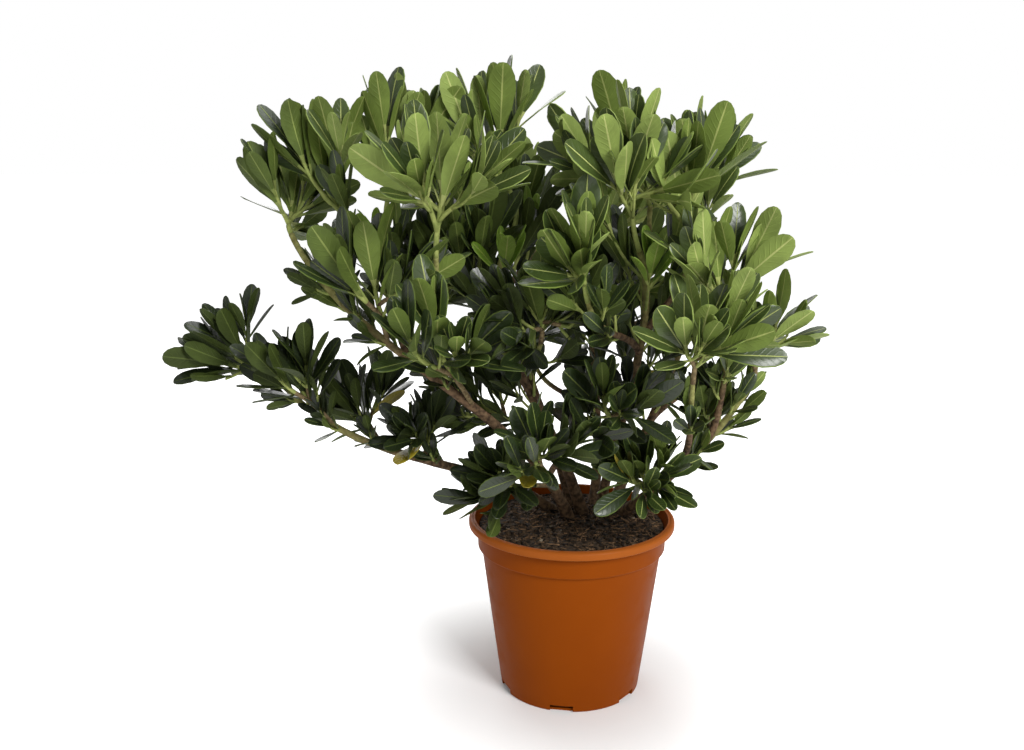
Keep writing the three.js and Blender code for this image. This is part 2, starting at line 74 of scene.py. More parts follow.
def pick(piece):
    begin()
    bpy.context.view_layer.objects.active = piece
    piece.select_set(True)


def enter_edit():
    bpy.ops.object.mode_set(mode="EDIT")


def leave_edit():
    bpy.ops.object.mode_set(mode="OBJECT")


def close_mesh(doubles):
    """Merges doubled points, turns every face outwards and leaves edit mode."""
    bpy.ops.mesh.select_all(action="SELECT")
    bpy.ops.mesh.remove_doubles(threshold=doubles * MM)
    bpy.ops.mesh.normals_make_consistent(inside=False)
    leave_edit()


def apply_modifier(piece, kind, **settings):
    pick(piece)
    modifier = piece.modifiers.new(kind.title(), kind)
    for name, value in settings.items():
        setattr(modifier, name, value)
    bpy.ops.object.modifier_apply(modifier=modifier.name)


def paint(piece, *finishes):
    piece.data.materials.clear()
    for finish in finishes:
        piece.data.materials.append(finish)


def finish_piece(piece, name, nodes=()):
    piece.name = name
    piece.data.name = name
    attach(piece, "root")
    if nodes:
        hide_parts(*nodes)
    print(name, len(piece.data.polygons), "faces")
    return piece


# %% [markdown]
# Leaves, twigs and crumbs are many. Copying an object for each would take operators a long time,
# so each kind is one mesh, joined from arrays. A part of it is given by its points, its faces'
# corners in one row, how many corners each face has, the number of each face's finish and, for
# leaves, a map. Leaves and twigs are both rings of points between a first and a last point.

# %% A joined mesh from arrays
def flat_faces(faces):
    """The corners of all faces in one row, and how many each face has."""
    corners = [corner for face in faces for corner in face]
    return np.array(corners), np.array([len(face) for face in faces])


def ringed_faces(sides, rings):
    """Faces from a first point over rings of points to a last one, with each face's side and row."""
    faces, side_of, row_of = [], [], []
    last = 1 + (rings - 1) * sides
    for side in range(sides):
        after = (side + 1) % sides
        faces.append((0, 1 + after, 1 + side))
        for low in range(1, last, sides):
            high = low + sides
            faces.append((low + side, low + after, high + after, high + side))
        faces.append((last + side, last + after, last + sides))
        side_of += [side] * (rings + 1)
        row_of += range(rings + 1)
    return faces, np.array(side_of), np.array(row_of)


def joined_mesh(name, parts, finishes):
    points, corners, sizes, tones, maps = zip(*parts)
    starts = np.cumsum([0] + [len(part) for part in points[:-1]])
    corners = np.concatenate([row + start for row, start in zip(corners, starts)]).astype(np.int32)
    points = np.concatenate(points) * MM
    sizes = np.concatenate(sizes)
    mesh = bpy.data.meshes.new(name)
    mesh.vertices.add(len(points))
    mesh.vertices.foreach_set("co", points.astype(np.float32).ravel())
    mesh.loops.add(len(corners))
    mesh.loops.foreach_set("vertex_index", corners)
    mesh.polygons.add(len(sizes))
    mesh.polygons.foreach_set("loop_start", (np.cumsum(sizes) - sizes).astype(np.int32))
    for finish in finishes:
        mesh.materials.append(finish)
    mesh.polygons.foreach_set("material_index", np.concatenate(tones).astype(np.int32))
    if maps[0] is not None:
        layer = mesh.uv_layers.new(name="leaf")
        layer.data.foreach_set("uv", np.concatenate(maps)[corners].astype(np.float32).ravel())
    mesh.update(calc_edges=True)
    mesh.shade_smooth()
    piece = bpy.data.objects.new(name, mesh)
    bpy.context.scene.collection.objects.link(piece)
    return piece


# %% [markdown]
# The camera stands where the photograph was taken from: in front, a little above the crown,
# turned slightly to the left and down. Its focal length comes from the pot, whose rim, collar
# and foot were fitted as circles of known size.

# %% Camera
FOCAL_PIXELS = 1075
PICTURE_WIDTH = 1024
SENSOR_WIDTH = 36
CAMERA_PLACE = (0, -1.396, 0.747)
CAMERA_PITCH = math.radians(12.5)
CAMERA_YAW = math.radians(3.33)

begin()
bpy.ops.object.camera_add(location=CAMERA_PLACE, rotation=(math.pi / 2 - CAMERA_PITCH, 0, CAMERA_YAW))
camera = bpy.context.object
camera.data.sensor_width = SENSOR_WIDTH
camera.data.lens = SENSOR_WIDTH * FOCAL_PIXELS / PICTURE_WIDTH
bpy.context.scene.camera = camera
print("lens", round(camera.data.lens, 2), "mm")

# %% [markdown]
# Soft studio light: a large key light to the right of the camera, a weaker one on the left, one
# above, one behind for the far side, and a dim pale world all round. Seen straight, the world is
# the photograph's plain white. The floor glows a little for the camera, to the same white, but
# not near the pot's foot, where its soft shadow shows.

# %% Studio
BACKGROUND_STRENGTH = 1.0
WORLD_STRENGTH = 0.31
FLOOR_GLOW = 0.74
GLOW_FROM = 0.08
GLOW_FULL = 0.45
FLOOR_SIZE = 40
WHITE = (1, 1, 1, 1)
# Each lamp's name, place, the height it is aimed at, size and power.
LAMPS = [
    ("key", (1.5, -2.2, 1.9), 0.45, 1.2, 84),
    ("fill", (-2.0, -1.8, 1.2), 0.4, 1.6, 9),
    ("top", (0.2, 0.4, 2.8), 0.5, 1.6, 26),
    ("back", (-0.9, 2.2, 1.4), 0.4, 1.6, 20),
]

begin()
world = bpy.data.worlds.new("studio")
world.use_nodes = True
backdrop = world.node_tree.nodes["Background"]
backdrop.inputs["Color"].default_value = WHITE
ray = world.node_tree.nodes.new("ShaderNodeLightPath")
level = world.node_tree.nodes.new("ShaderNodeMapRange")
level.inputs["To Min"].default_value = WORLD_STRENGTH
level.inputs["To Max"].default_value = BACKGROUND_STRENGTH
world.node_tree.links.new(ray.outputs["Is Camera Ray"], level.inputs["Value"])
world.node_tree.links.new(level.outputs["Result"], backdrop.inputs["Strength"])
bpy.context.scene.world = world
bpy.context.scene.view_settings.view_transform = "Standard"

for name, (x, y, z), aim, size, power in LAMPS:
    bpy.ops.object.light_add(type="AREA", location=(x, y, z))
    lamp = bpy.context.object
    lamp.name = name
    lamp.data.energy = power
    lamp.data.size = size
    lamp.rotation_euler = (math.atan2(math.hypot(x, y), z - aim), 0, math.atan2(x, -y))

bpy.ops.mesh.primitive_plane_add(size=FLOOR_SIZE)
floor = bpy.context.object
floor.name = "floor"
floor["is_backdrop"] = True
print(len(LAMPS), "lamps, floor", FLOOR_SIZE, "m across")

# %% [markdown]
# Finishes start from a helper that makes a material with its Principled shader. A number that
# is the same all over a surface is set on the shader itself. What changes over the surface comes
# from two shared groups: one mixes two colours by cloudy noise, one draws a leaf's veins. Short
# helpers add the nodes that calculate, stretch a range and mix colours, so that a graph reads as
# a few lines of sums.

# %% Material helpers
def new_finish(name, roughness, **sockets):
    material = bpy.data.materials.new(name)
    material.use_nodes = True
    shader = material.node_tree.nodes["Principled BSDF"]
    shader.inputs["Roughness"].default_value = roughness
    for socket, value in sockets.items():
        shader.inputs[socket.replace("_", " ")].default_value = value
    return material, material.node_tree, shader


def add_node(tree, kind, **settings):
    node = tree.nodes.new(kind)
    for name, value in settings.items():
        setattr(node, name, value)
    return node


def link(tree, source, target):
    tree.links.new(source, target)


def feed(tree, sockets, values):
    """Gives each socket its value, which is a plain one or another node's output."""
    for socket, value in zip(sockets, values):
        if isinstance(value, bpy.types.NodeSocket):
            link(tree, value, socket)
        else:
            socket.default_value = value


def calculated(tree, operation, *values):
    node = add_node(tree, "ShaderNodeMath", operation=operation)
    feed(tree, node.inputs, values)
    return node.outputs[0]


def stretched(tree, value, low, high, full=1.0, kind="LINEAR"):
    """A value as a share of the way from low to high, up to full."""
    node = add_node(tree, "ShaderNodeMapRange", interpolation_type=kind)
    labels = ("Value", "From Min", "From Max", "To Max")
    feed(tree, [node.inputs[label] for label in labels], (value, low, high, full))
    return node.outputs["Result"]


# A Mix node's sockets for colours, which come after those for numbers and vectors.
MIX_FIRST, MIX_SECOND, MIX_RESULT = 6, 7, 2


def mixed(tree, share, first, second):
    node = add_node(tree, "ShaderNodeMix", data_type="RGBA")
    sockets = (node.inputs["Factor"], node.inputs[MIX_FIRST], node.inputs[MIX_SECOND])
    feed(tree, sockets, (share, first, second))
    return node.outputs[MIX_RESULT]


def add_bump(tree, shader, height, distance, strength=1.0):
    bump = add_node(tree, "ShaderNodeBump")
    bump.inputs["Distance"].default_value = distance * MM
    bump.inputs["Strength"].default_value = strength
    link(tree, height, bump.inputs["Height"])
    link(tree, bump.outputs["Normal"], shader.inputs["Normal"])


def open_group(name, inputs, outputs):
    tree = bpy.data.node_groups.new(name, "ShaderNodeTree")
    for label, kind, value in inputs:
        socket = tree.interface.new_socket(name=label, in_out="INPUT", socket_type=kind)
        socket.default_value = value
    for label, kind in outputs:
        tree.interface.new_socket(name=label, in_out="OUTPUT", socket_type=kind)
    group_in, group_out = tree.nodes.new("NodeGroupInput"), tree.nodes.new("NodeGroupOutput")
    return tree, group_in.outputs, group_out.inputs


def place_group(tree, group, **values):
    node = add_node(tree, "ShaderNodeGroup", node_tree=group)
    for name, value in values.items():
        node.inputs[name].default_value = value
    return node


# %% [markdown]
# Real surfaces are never one flat colour. This group mixes a light and a deep colour by noise in
# the object's own millimetres, and also puts out the noise itself, for roughness and relief.

# %% Cloudy colour group
COLOR = "NodeSocketColor"
NUMBER = "NodeSocketFloat"

cloudy, cloudy_in, cloudy_out = open_group(
    "cloudy_colour",
    [("Light", COLOR, WHITE), ("Deep", COLOR, WHITE), ("Grain", NUMBER, 100), ("Detail", NUMBER, 4),
     ("Low", NUMBER, 0.35), ("High", NUMBER, 0.65)],
    [("Color", COLOR), ("Mask", NUMBER)],
)
place = add_node(cloudy, "ShaderNodeTexCoord")
noise = add_node(cloudy, "ShaderNodeTexNoise")
link(cloudy, place.outputs["Object"], noise.inputs["Vector"])
link(cloudy, cloudy_in["Grain"], noise.inputs["Scale"])
link(cloudy, cloudy_in["Detail"], noise.inputs["Detail"])
mask = stretched(cloudy, noise.outputs["Fac"], cloudy_in["Low"], cloudy_in["High"])
link(cloudy, mixed(cloudy, mask, cloudy_in["Light"], cloudy_in["Deep"]), cloudy_out["Color"])
link(cloudy, mask, cloudy_out["Mask"])
print("group", cloudy.name)

# %% [markdown]
# Side veins leave a leaf's midrib at a slant and fade before the margin. In the leaf's own map
# U runs from the root to the tip and V from margin to margin, so slanted bands of U and V give
# the veins, and the group's height lets them stand a little out of the blade.

# %% Leaf vein group
VEIN_SLANT = 0.32
VEIN_COUNT = 11
VEIN_EDGE = 0.55
VEIN_FULL_TO = 0.2
HALF_ACROSS = 0.5

veins, veins_in, veins_out = open_group(
    "leaf_veins",
    [("Plain", COLOR, WHITE), ("Vein", COLOR, WHITE), ("Amount", NUMBER, 0.5)],
    [("Color", COLOR), ("Height", NUMBER)],
)
leaf_map = add_node(veins, "ShaderNodeUVMap", uv_map="leaf")
split = add_node(veins, "ShaderNodeSeparateXYZ")
link(veins, leaf_map.outputs["UV"], split.inputs["Vector"])
aside = calculated(veins, "ABSOLUTE", calculated(veins, "SUBTRACT", split.outputs["Y"], HALF_ACROSS))
slanted = calculated(veins, "MULTIPLY_ADD", aside, -VEIN_SLANT, split.outputs["X"])
wave = calculated(veins, "COSINE", calculated(veins, "MULTIPLY", slanted, 2 * math.pi * VEIN_COUNT))
ridge = stretched(veins, wave, VEIN_EDGE, 1.0, kind="SMOOTHSTEP")
height = calculated(veins, "MULTIPLY", ridge, stretched(veins, aside, HALF_ACROSS, VEIN_FULL_TO))
share = calculated(veins, "MULTIPLY", height, veins_in["Amount"])
link(veins, mixed(veins, share, veins_in["Plain"], veins_in["Vein"]), veins_out["Color"])
link(veins, height, veins_out["Height"])
print("group", veins.name)

# %% [markdown]
# The leaf finishes. A leaf is dark and glossy above and pale and matt beneath, and each spray
# has its own tint, partly the leaves' own colour and partly painted light and shade: the crown's
# outer sprays get the brightest, as painted light, the shaded ones inside and below the deepest,
# as painted shade, and a few are young or yellowing. Each tint is a plain colour for the upper
# side, one for the underside and margin, and one for the midrib.

# %% Leaf finishes
# The sage and fresh tints are partly painted light, the deep and dark ones partly painted shade.
TINTS = {
    "sage": ((0.058, 0.086, 0.020), (0.228, 0.298, 0.072), (0.42, 0.46, 0.16)),
    "fresh": ((0.036, 0.058, 0.012), (0.140, 0.194, 0.037), (0.32, 0.36, 0.11)),
    "green": ((0.020, 0.034, 0.008), (0.080, 0.114, 0.021), (0.19, 0.23, 0.06)),
    "deep": ((0.013, 0.022, 0.005), (0.042, 0.060, 0.011), (0.09, 0.12, 0.028)),
    "dark": ((0.009, 0.016, 0.005), (0.022, 0.033, 0.008), (0.05, 0.07, 0.020)),
    "young": ((0.110, 0.190, 0.018), (0.200, 0.300, 0.045), (0.38, 0.43, 0.12)),
    "yellowing": ((0.360, 0.280, 0.020), (0.400, 0.330, 0.045), (0.46, 0.38, 0.10)),
}
TINT_NAMES = list(TINTS)
# Each side's roughness, coat, relief in millimetres and how far its veins show.
LEAF_SIDES = {
    "upper": (0.33, 0.20, 0.20, 0.14),
    "under": (0.55, 0.0, 0.24, 0.18),
    "rib": (0.50, 0.0, 0.05, 0.0),
}
UPPER, UNDER, RIB = range(len(LEAF_SIDES))
COAT_ROUGHNESS = 0.25
GLOSSY = 0.5
MATT = 0.22
CLOUD_LIGHT = 1.22
CLOUD_DEEP = 0.80
VEIN_LIGHT = 1.5


def leaf_finish(name, colour, roughness, coat, relief, vein_amount):
    def shade(factor):
        return (*[min(1, value * factor) for value in colour], 1)

    material, tree, shader = new_finish(name, roughness, Coat_Weight=coat, Coat_Roughness=COAT_ROUGHNESS)
    shader.inputs["Specular IOR Level"].default_value = GLOSSY if coat else MATT
    tone = place_group(
        tree, cloudy, Light=shade(CLOUD_LIGHT), Deep=shade(CLOUD_DEEP), Grain=26.0, Detail=3.0,
    )
    lines = place_group(tree, veins, Vein=shade(VEIN_LIGHT), Amount=vein_amount)
    link(tree, tone.outputs["Color"], lines.inputs["Plain"])
    link(tree, lines.outputs["Color"], shader.inputs["Base Color"])
    add_bump(tree, shader, lines.outputs["Height"], relief)
    return material


leaf_finishes = []
for tint, colours in TINTS.items():
    for (side, values), colour in zip(LEAF_SIDES.items(), colours):
        leaf_finishes.append(leaf_finish(f"{tint}_leaf_{side}", colour, *values))
print(len(leaf_finishes), "leaf finishes")

# %% [markdown]
# Bark, young shoots, potting mix, wood chips and the pot's plastic. Bark is grey-brown with pale
# cracks, and turns green towards a limb's tip, by a number kept on the mesh. The plastic is
# satin, with faint scuffs that change its gloss more than its colour. A paler copy of it for the
# lip is a painted highlight: the pale sheen that the rolled lip catches.

# %% Bark, shoot, soil and pot finishes
YOUNG_FROM = 0.5
YOUNG_TO = 0.95
DULL = 0.2
SATIN = 0.045


def bark_finish(name, light, deep, grain, relief):
    material, tree, shader = new_finish(name, roughness=0.78, Specular_IOR_Level=DULL)
    tone = place_group(
        tree, cloudy, Light=(*light, 1), Deep=(*deep, 1), Grain=grain, Detail=8.0, Low=0.38, High=0.62,
    )
    link(tree, tone.outputs["Color"], shader.inputs["Base Color"])
    add_bump(tree, shader, tone.outputs["Mask"], relief)
    return material


def plastic_finish(name, light, deep):
    material, tree, shader = new_finish(name, roughness=0.42, Specular_IOR_Level=SATIN)
    tone = place_group(
        tree, cloudy, Light=(*light, 1), Deep=(*deep, 1), Grain=7.0, Detail=6.0, Low=0.2, High=0.8,
    )
    scuff = place_group(
        tree, cloudy, Light=(0.36, 0.36, 0.36, 1), Deep=(0.52, 0.52, 0.52, 1), Grain=45.0, Detail=8.0,
        Low=0.45, High=0.7,
    )
    link(tree, tone.outputs["Color"], shader.inputs["Base Color"])
    link(tree, scuff.outputs["Color"], shader.inputs["Roughness"])
    add_bump(tree, shader, scuff.outputs["Mask"], distance=0.05)
    return material


bark, tree, shader = new_finish("bark", roughness=0.75, Specular_IOR_Level=DULL)
old_tone = place_group(
    tree, cloudy, Light=(0.185, 0.115, 0.062, 1), Deep=(0.060, 0.036, 0.020, 1), Grain=170.0, Detail=8.0,
    Low=0.38, High=0.62,
)
young_tone = place_group(
    tree, cloudy, Light=(0.300, 0.300, 0.100, 1), Deep=(0.160, 0.150, 0.045, 1), Grain=110.0, Detail=6.0,
)
limb_share = add_node(tree, "ShaderNodeAttribute", attribute_name="limb_share")
youth = stretched(tree, limb_share.outputs["Fac"], YOUNG_FROM, YOUNG_TO, kind="SMOOTHSTEP")
bark_colour = mixed(tree, youth, old_tone.outputs["Color"], young_tone.outputs["Color"])
link(tree, bark_colour, shader.inputs["Base Color"])
add_bump(tree, shader, old_tone.outputs["Mask"], distance=1.0, strength=0.7)

twig_bark = bark_finish("twig_bark", (0.250, 0.190, 0.095), (0.130, 0.090, 0.045), grain=240.0, relief=0.4)
shoot_skin = bark_finish("shoot_skin", (0.360, 0.400, 0.120), (0.220, 0.270, 0.070), grain=90.0, relief=0.1)
soil_mix = bark_finish("soil_mix", (0.082, 0.050, 0.027), (0.007, 0.004, 0.002), grain=150.0, relief=3.0)
soil_fibre = bark_finish("soil_fibre", (0.240, 0.140, 0.072), (0.080, 0.046, 0.023), grain=300.0, relief=0.4)
soil_chip = bark_finish("soil_chip", (0.300, 0.250, 0.180), (0.140, 0.110, 0.075), grain=200.0, relief=0.3)
pot_plastic = plastic_finish("pot_plastic", (0.250, 0.051, 0.001), (0.202, 0.039, 0.001))
# A paler copy of the pot's plastic for the lip: a painted highlight, the sheen on the rolled lip.
lip_highlight_plastic = plastic_finish("lip_highlight_plastic", (0.345, 0.092, 0.014), (0.285, 0.070, 0.009))

floor_paint, tree, shader = new_finish("floor_paint", roughness=0.9, Emission_Color=WHITE)
ray = add_node(tree, "ShaderNodeLightPath")
place = add_node(tree, "ShaderNodeTexCoord")
away = add_node(tree, "ShaderNodeVectorMath", operation="LENGTH")
link(tree, place.outputs["Object"], away.inputs[0])
fade = stretched(tree, away.outputs["Value"], GLOW_FROM, GLOW_FULL, FLOOR_GLOW, "SMOOTHSTEP")
glow = calculated(tree, "MULTIPLY", fade, ray.outputs["Is Camera Ray"])
link(tree, glow, shader.inputs["Emission Strength"])
tone = place_group(tree, cloudy, Light=(0.97, 0.97, 0.97, 1), Deep=(0.94, 0.94, 0.94, 1), Grain=2.0)
link(tree, tone.outputs["Color"], shader.inputs["Base Color"])
paint(floor, floor_paint)
print("bark, shoots, soil, pot and floor have their finishes")

# %% [markdown]
# The pot is a thin-walled moulding. It could be stacked from cylinders, but its wall would show
# steps where it bends, so it is made as it looks in section. One point is extruded from place to
# place along the wall's outline: foot, leaning wall, shoulder, collar, rolled lip and back down
# inside. That outline is spun round the axis. Its round stretches are arcs.

# %% Pot sizes
POT_HEIGHT = 242
BASE_RADIUS = 96
SHOULDER_RADIUS = 121.8
SHOULDER_BOTTOM = 195
SHOULDER_TOP = 203
COLLAR_RADIUS = 127.5
LIP_BOTTOM = 231
LIP_RADIUS = 140
MOUTH_RADIUS = 131
COLLAR_SPREAD = 0.8
COLLAR_EASE_OUT = 0.1
COLLAR_EASE_UP = 2
# Points of the shoulder's bend, out from its radius and down from its top.
SHOULDER_BEND = [(0.3, 3.8), (1.4, 2.4), (4.8, 1.4)]
WALL_RINGS = (60, 130)
WALL = 2
FLOOR = 3
EDGE = 1.5
FILLET = 1
FILLET_OUT = 0.6
LIP_LOWER_BEND = 2.2
LIP_UPPER_BEND = 4.5
MOUTH_BEND = 1
MOUTH_DEPTH = 4
MOUTH_LEAN = 0.5
POT_STEPS = 144
NOTCH_COUNT = 6
NOTCH_WIDTH = 31
NOTCH_HEIGHT = 9
NOTCH_DEPTH = 5
FIRST_NOTCH = math.radians(264)
GROOVE_RADIUS = 134.5
GROOVE_DEPTH = 0.9
GROOVE_HALF = 0.6
INNER_LIP_DROP = 0.1
DOUBLES = 0.02


def arc(radius, height, bend, first, last, steps):
    """Points of a bend round a middle at this radius and height, from one angle to another."""
    angles = np.radians(np.linspace(first, last, steps + 1))
    return [(radius + bend * math.cos(a), height + bend * math.sin(a)) for a in angles]


def spun(name, outline, steps):
    """A closed solid: a single point is drawn out along the outline and spun round the axis."""
    begin()
    bpy.ops.mesh.primitive_plane_add()
    piece = bpy.context.object
    enter_edit()
    bpy.ops.mesh.merge(type="CENTER")
    place = np.array([outline[0][0], 0, outline[0][1]]) * MM
    bpy.ops.transform.translate(value=place)
    for radius, height in outline[1:]:
        target = np.array([radius, 0, height]) * MM
        bpy.ops.mesh.extrude_vertices_move(TRANSFORM_OT_translate={"value": target - place})
        place = target
    bpy.ops.mesh.select_all(action="SELECT")
    bpy.ops.mesh.spin(steps=steps, angle=2 * math.pi, center=(0, 0, 0), axis=(0, 0, 1))
    close_mesh(DOUBLES)
    piece.name = name
    return piece


# %% Pot outline, spun
collar_top = COLLAR_RADIUS + COLLAR_SPREAD
wall_lean = (SHOULDER_RADIUS - BASE_RADIUS) / SHOULDER_BOTTOM
pot_outline = [
    (0, 0),
    (BASE_RADIUS - EDGE, 0),
    *arc(BASE_RADIUS - EDGE, EDGE, EDGE, -70, 0, 3),
    *[(BASE_RADIUS + wall_lean * height, height) for height in WALL_RINGS],
    (SHOULDER_RADIUS, SHOULDER_BOTTOM),
    *[(SHOULDER_RADIUS + out, SHOULDER_TOP - down) for out, down in SHOULDER_BEND],
    (COLLAR_RADIUS, SHOULDER_TOP),
    (COLLAR_RADIUS + COLLAR_EASE_OUT, SHOULDER_TOP + COLLAR_EASE_UP),
    (collar_top, LIP_BOTTOM - FILLET),
    (collar_top + FILLET_OUT, LIP_BOTTOM),
    *arc(LIP_RADIUS - LIP_LOWER_BEND, LIP_BOTTOM + LIP_LOWER_BEND, LIP_LOWER_BEND, -90, 0, 4),
    *arc(LIP_RADIUS - LIP_UPPER_BEND, POT_HEIGHT - LIP_UPPER_BEND, LIP_UPPER_BEND, 0, 80, 6),
    (GROOVE_RADIUS + GROOVE_HALF, POT_HEIGHT),
    (GROOVE_RADIUS, POT_HEIGHT - GROOVE_DEPTH),
    (GROOVE_RADIUS - GROOVE_HALF, POT_HEIGHT - INNER_LIP_DROP),
    *arc(MOUTH_RADIUS + MOUTH_BEND, POT_HEIGHT - MOUTH_BEND, MOUTH_BEND, 90, 180, 3),
    (MOUTH_RADIUS - MOUTH_LEAN, POT_HEIGHT - MOUTH_DEPTH),
    (collar_top - WALL, LIP_BOTTOM - FILLET),
    (COLLAR_RADIUS - WALL, SHOULDER_TOP + FILLET),
    (SHOULDER_RADIUS - WALL, SHOULDER_BOTTOM + FILLET),
    (BASE_RADIUS - WALL + wall_lean * FLOOR, FLOOR),
    (0, FLOOR),
]
pot = spun("pot_shell", pot_outline, POT_STEPS)
print("pot outline of", len(pot_outline), "points")

# %% [markdown]
# Six drain notches are cut through the foot of the wall, one of them just left of the front. The
# lip's faces then get the paler plastic, a painted highlight for the sheen on the rolled lip.

# %% Drain notches
SMOOTH_BELOW = math.radians(28)

for k in range(NOTCH_COUNT):
    turn = FIRST_NOTCH + k * 2 * math.pi / NOTCH_COUNT
    begin()
    bpy.ops.mesh.primitive_cube_add(
        size=1,
        location=(BASE_RADIUS * MM * math.cos(turn), BASE_RADIUS * MM * math.sin(turn), 0),
        rotation=(0, 0, turn),
        scale=(2 * NOTCH_DEPTH * MM, NOTCH_WIDTH * MM, 2 * NOTCH_HEIGHT * MM),
    )
    cutter = bpy.context.object
    apply_modifier(pot, "BOOLEAN", operation="DIFFERENCE", object=cutter, solver="EXACT")
    bpy.data.objects.remove(cutter)

pick(pot)
bpy.ops.object.shade_smooth_by_angle(angle=SMOOTH_BELOW)
paint(pot, pot_plastic, lip_highlight_plastic)
# The lip's faces take the paler copy, the painted highlight.
lip_highlight = pot.data.materials.find(lip_highlight_plastic.name)
for polygon in pot.data.polygons:
    x, y, z = polygon.center / MM
    if z > LIP_BOTTOM and math.hypot(x, y) > MOUTH_RADIUS:
        polygon.material_index = lip_highlight
finish_piece(pot, "pot_shell", ["pot"])

# %% [markdown]
# Potting mix settles into a shallow, lumpy bed that is lower at the wall. A flat disc would look
# cut, so its section is spun with many rings, and two cloud textures push the top up and down:
# broad hollows and small crumbs. A vertex group keeps the wall and the bottom as they are.

# %% Soil sizes
SOIL_TOP = 235
SOIL_EDGE = 232
SOIL_RINGS = 46
SOIL_STEPS = 120
WALL_GAP = 0.6
SETTLED = 1
TOP_DEPTH = 3
RIM_KEPT = 1


def cloud(name, size, layers):
    texture = bpy.data.textures.new(name, "CLOUDS")
    texture.noise_scale = size
    texture.noise_depth = layers
    return texture


def roughen(piece, reliefs, **settings):
    """Pushes the surface by each texture in turn, as far as its millimetres say."""
    for texture, push in reliefs:
        apply_modifier(
            piece, "DISPLACE", texture=texture, texture_coords="LOCAL", strength=push * MM, **settings,
        )


SOIL_RELIEFS = [(cloud("hollows", 0.05, 1), 3.4), (cloud("crumbs", 0.007, 3), 3.0)]
print("soil", SOIL_TOP, "mm above the ground")


# %% Soil bed
gap = WALL + WALL_GAP
soil_outline = [
    (0, FLOOR + WALL_GAP),
    (BASE_RADIUS - NOTCH_DEPTH - WALL, FLOOR + WALL_GAP),
    (BASE_RADIUS + wall_lean * 2 * NOTCH_HEIGHT - gap, 2 * NOTCH_HEIGHT),
    (SHOULDER_RADIUS - gap, SHOULDER_BOTTOM),
    (COLLAR_RADIUS - gap, SHOULDER_TOP + 2),
]
for ring in range(SOIL_RINGS + 1):
    radius = (COLLAR_RADIUS - gap) * (1 - ring / SOIL_RINGS)
    sink = (SOIL_TOP - SOIL_EDGE) * (radius / COLLAR_RADIUS) ** 3
    soil_outline.append((radius, SOIL_TOP - SETTLED - sink))
soil = spun("soil_bed", soil_outline, SOIL_STEPS)
top = soil.vertex_groups.new(name="top")
rim = COLLAR_RADIUS - gap - RIM_KEPT
for vertex in soil.data.vertices:
    radius = math.hypot(vertex.co.x, vertex.co.y) / MM
    if vertex.co.z > (SOIL_EDGE - TOP_DEPTH) * MM and radius < rim:
        top.add([vertex.index], 1.0, "REPLACE")
roughen(soil, SOIL_RELIEFS, direction="Z", vertex_group="top")
pick(soil)
bpy.ops.object.shade_smooth()
paint(soil, soil_mix)
finish_piece(soil, "soil_bed", ["soil"])

# %% [markdown]
# The growing rule. The source builds the plant from short tables of stems, boughs and masses of
# foliage, and draws from a seeded sequence. The same tables and the same sequence are written
# here, so that the fine plant grows on the same limbs and fills the same spaces. All of it is in
# millimetres, and the meshes turn that into metres.

# %% Seeded draws and curves
UP = np.array([0.0, 0.0, 1.0])
GOLDEN_ANGLE = math.radians(137.508)
CURVE_STEPS = 60


def drawer(seed):
    state = seed & 0xFFFFFFFF

    def draw():
        nonlocal state
        state = (state * 1664525 + 1013904223) & 0xFFFFFFFF
        return state / 4294967296

    return draw


def unit(vector):
    return vector / np.linalg.norm(vector)


def lerp(low, high, share):
    return low + (high - low) * share


def smoothstep(value, low, high):
    share = min(1.0, max(0.0, (value - low) / (high - low)))
    return share * share * (3 - 2 * share)


class Curve:
    """A cubic curve through its first and last point, pulled by the two between."""

    def __init__(self, *pulls):
        self.pulls = np.array(pulls, float)
        self.tip = self.pulls[-1]
        steps = np.diff(self.at(np.linspace(0, 1, CURVE_STEPS + 1)), axis=0)
        self.length = float(np.linalg.norm(steps, axis=1).sum())

    def at(self, share):
        t = np.asarray(share, float)[..., None]
        a, b, c, d = self.pulls
        return a * (1 - t) ** 3 + b * 3 * t * (1 - t) ** 2 + c * 3 * t * t * (1 - t) + d * t ** 3

    def along(self, share):
        t = np.asarray(share, float)[..., None]
        a, b, c, d = self.pulls
        slope = (b - a) * (1 - t) ** 2 + (c - b) * 2 * t * (1 - t) + (d - c) * t * t
        return slope / np.linalg.norm(slope, axis=-1, keepdims=True)


# %% Stems and boughs
STEM_FOOT_RADIUS = 7.4
STEM_TIP_RADIUS = 3.6
STEM_SPARE = 12
FLARE = 0.4
FLARE_HEIGHT = 14
BOUGH_FOOT_RADIUS = 4.8
BOUGH_TIP_RADIUS = 3.1
BOUGH_LEAVE = 0.35
BOUGH_ARRIVE = 0.4
BOUGH_FOLLOW_STEM = 0.5
BOUGH_AIM = 0.6
BOUGH_RISE = 0.7

STEMS = [
    ("left_stem", (-2, 20), (-50, -75, 415), (-250, -205, 490), (-355, -60, 627)),
    ("low_left_stem", (-18, 46), (-115, 25, 324), (-260, -90, 320), (-372, -60, 430)),
    ("centre_stem", (18, 34), (-45, 10, 450), (-145, -45, 490), (-80, 5, 630)),
    ("right_centre_stem", (40, 44), (45, -15, 345), (115, -60, 520), (78, -92, 612)),
    ("right_stem", (64, 48), (115, -35, 300), (160, -70, 340), (225, -60, 442)),
    ("back_right_stem", (56, 74), (95, 100, 320), (160, 110, 445), (175, 85, 560)),
    ("back_left_stem", (4, 60), (-30, 85, 340), (-100, 155, 495), (-140, 160, 600)),
    ("back_stem", (30, 74), (50, 120, 325), (20, 210, 480), (15, 215, 570)),
]

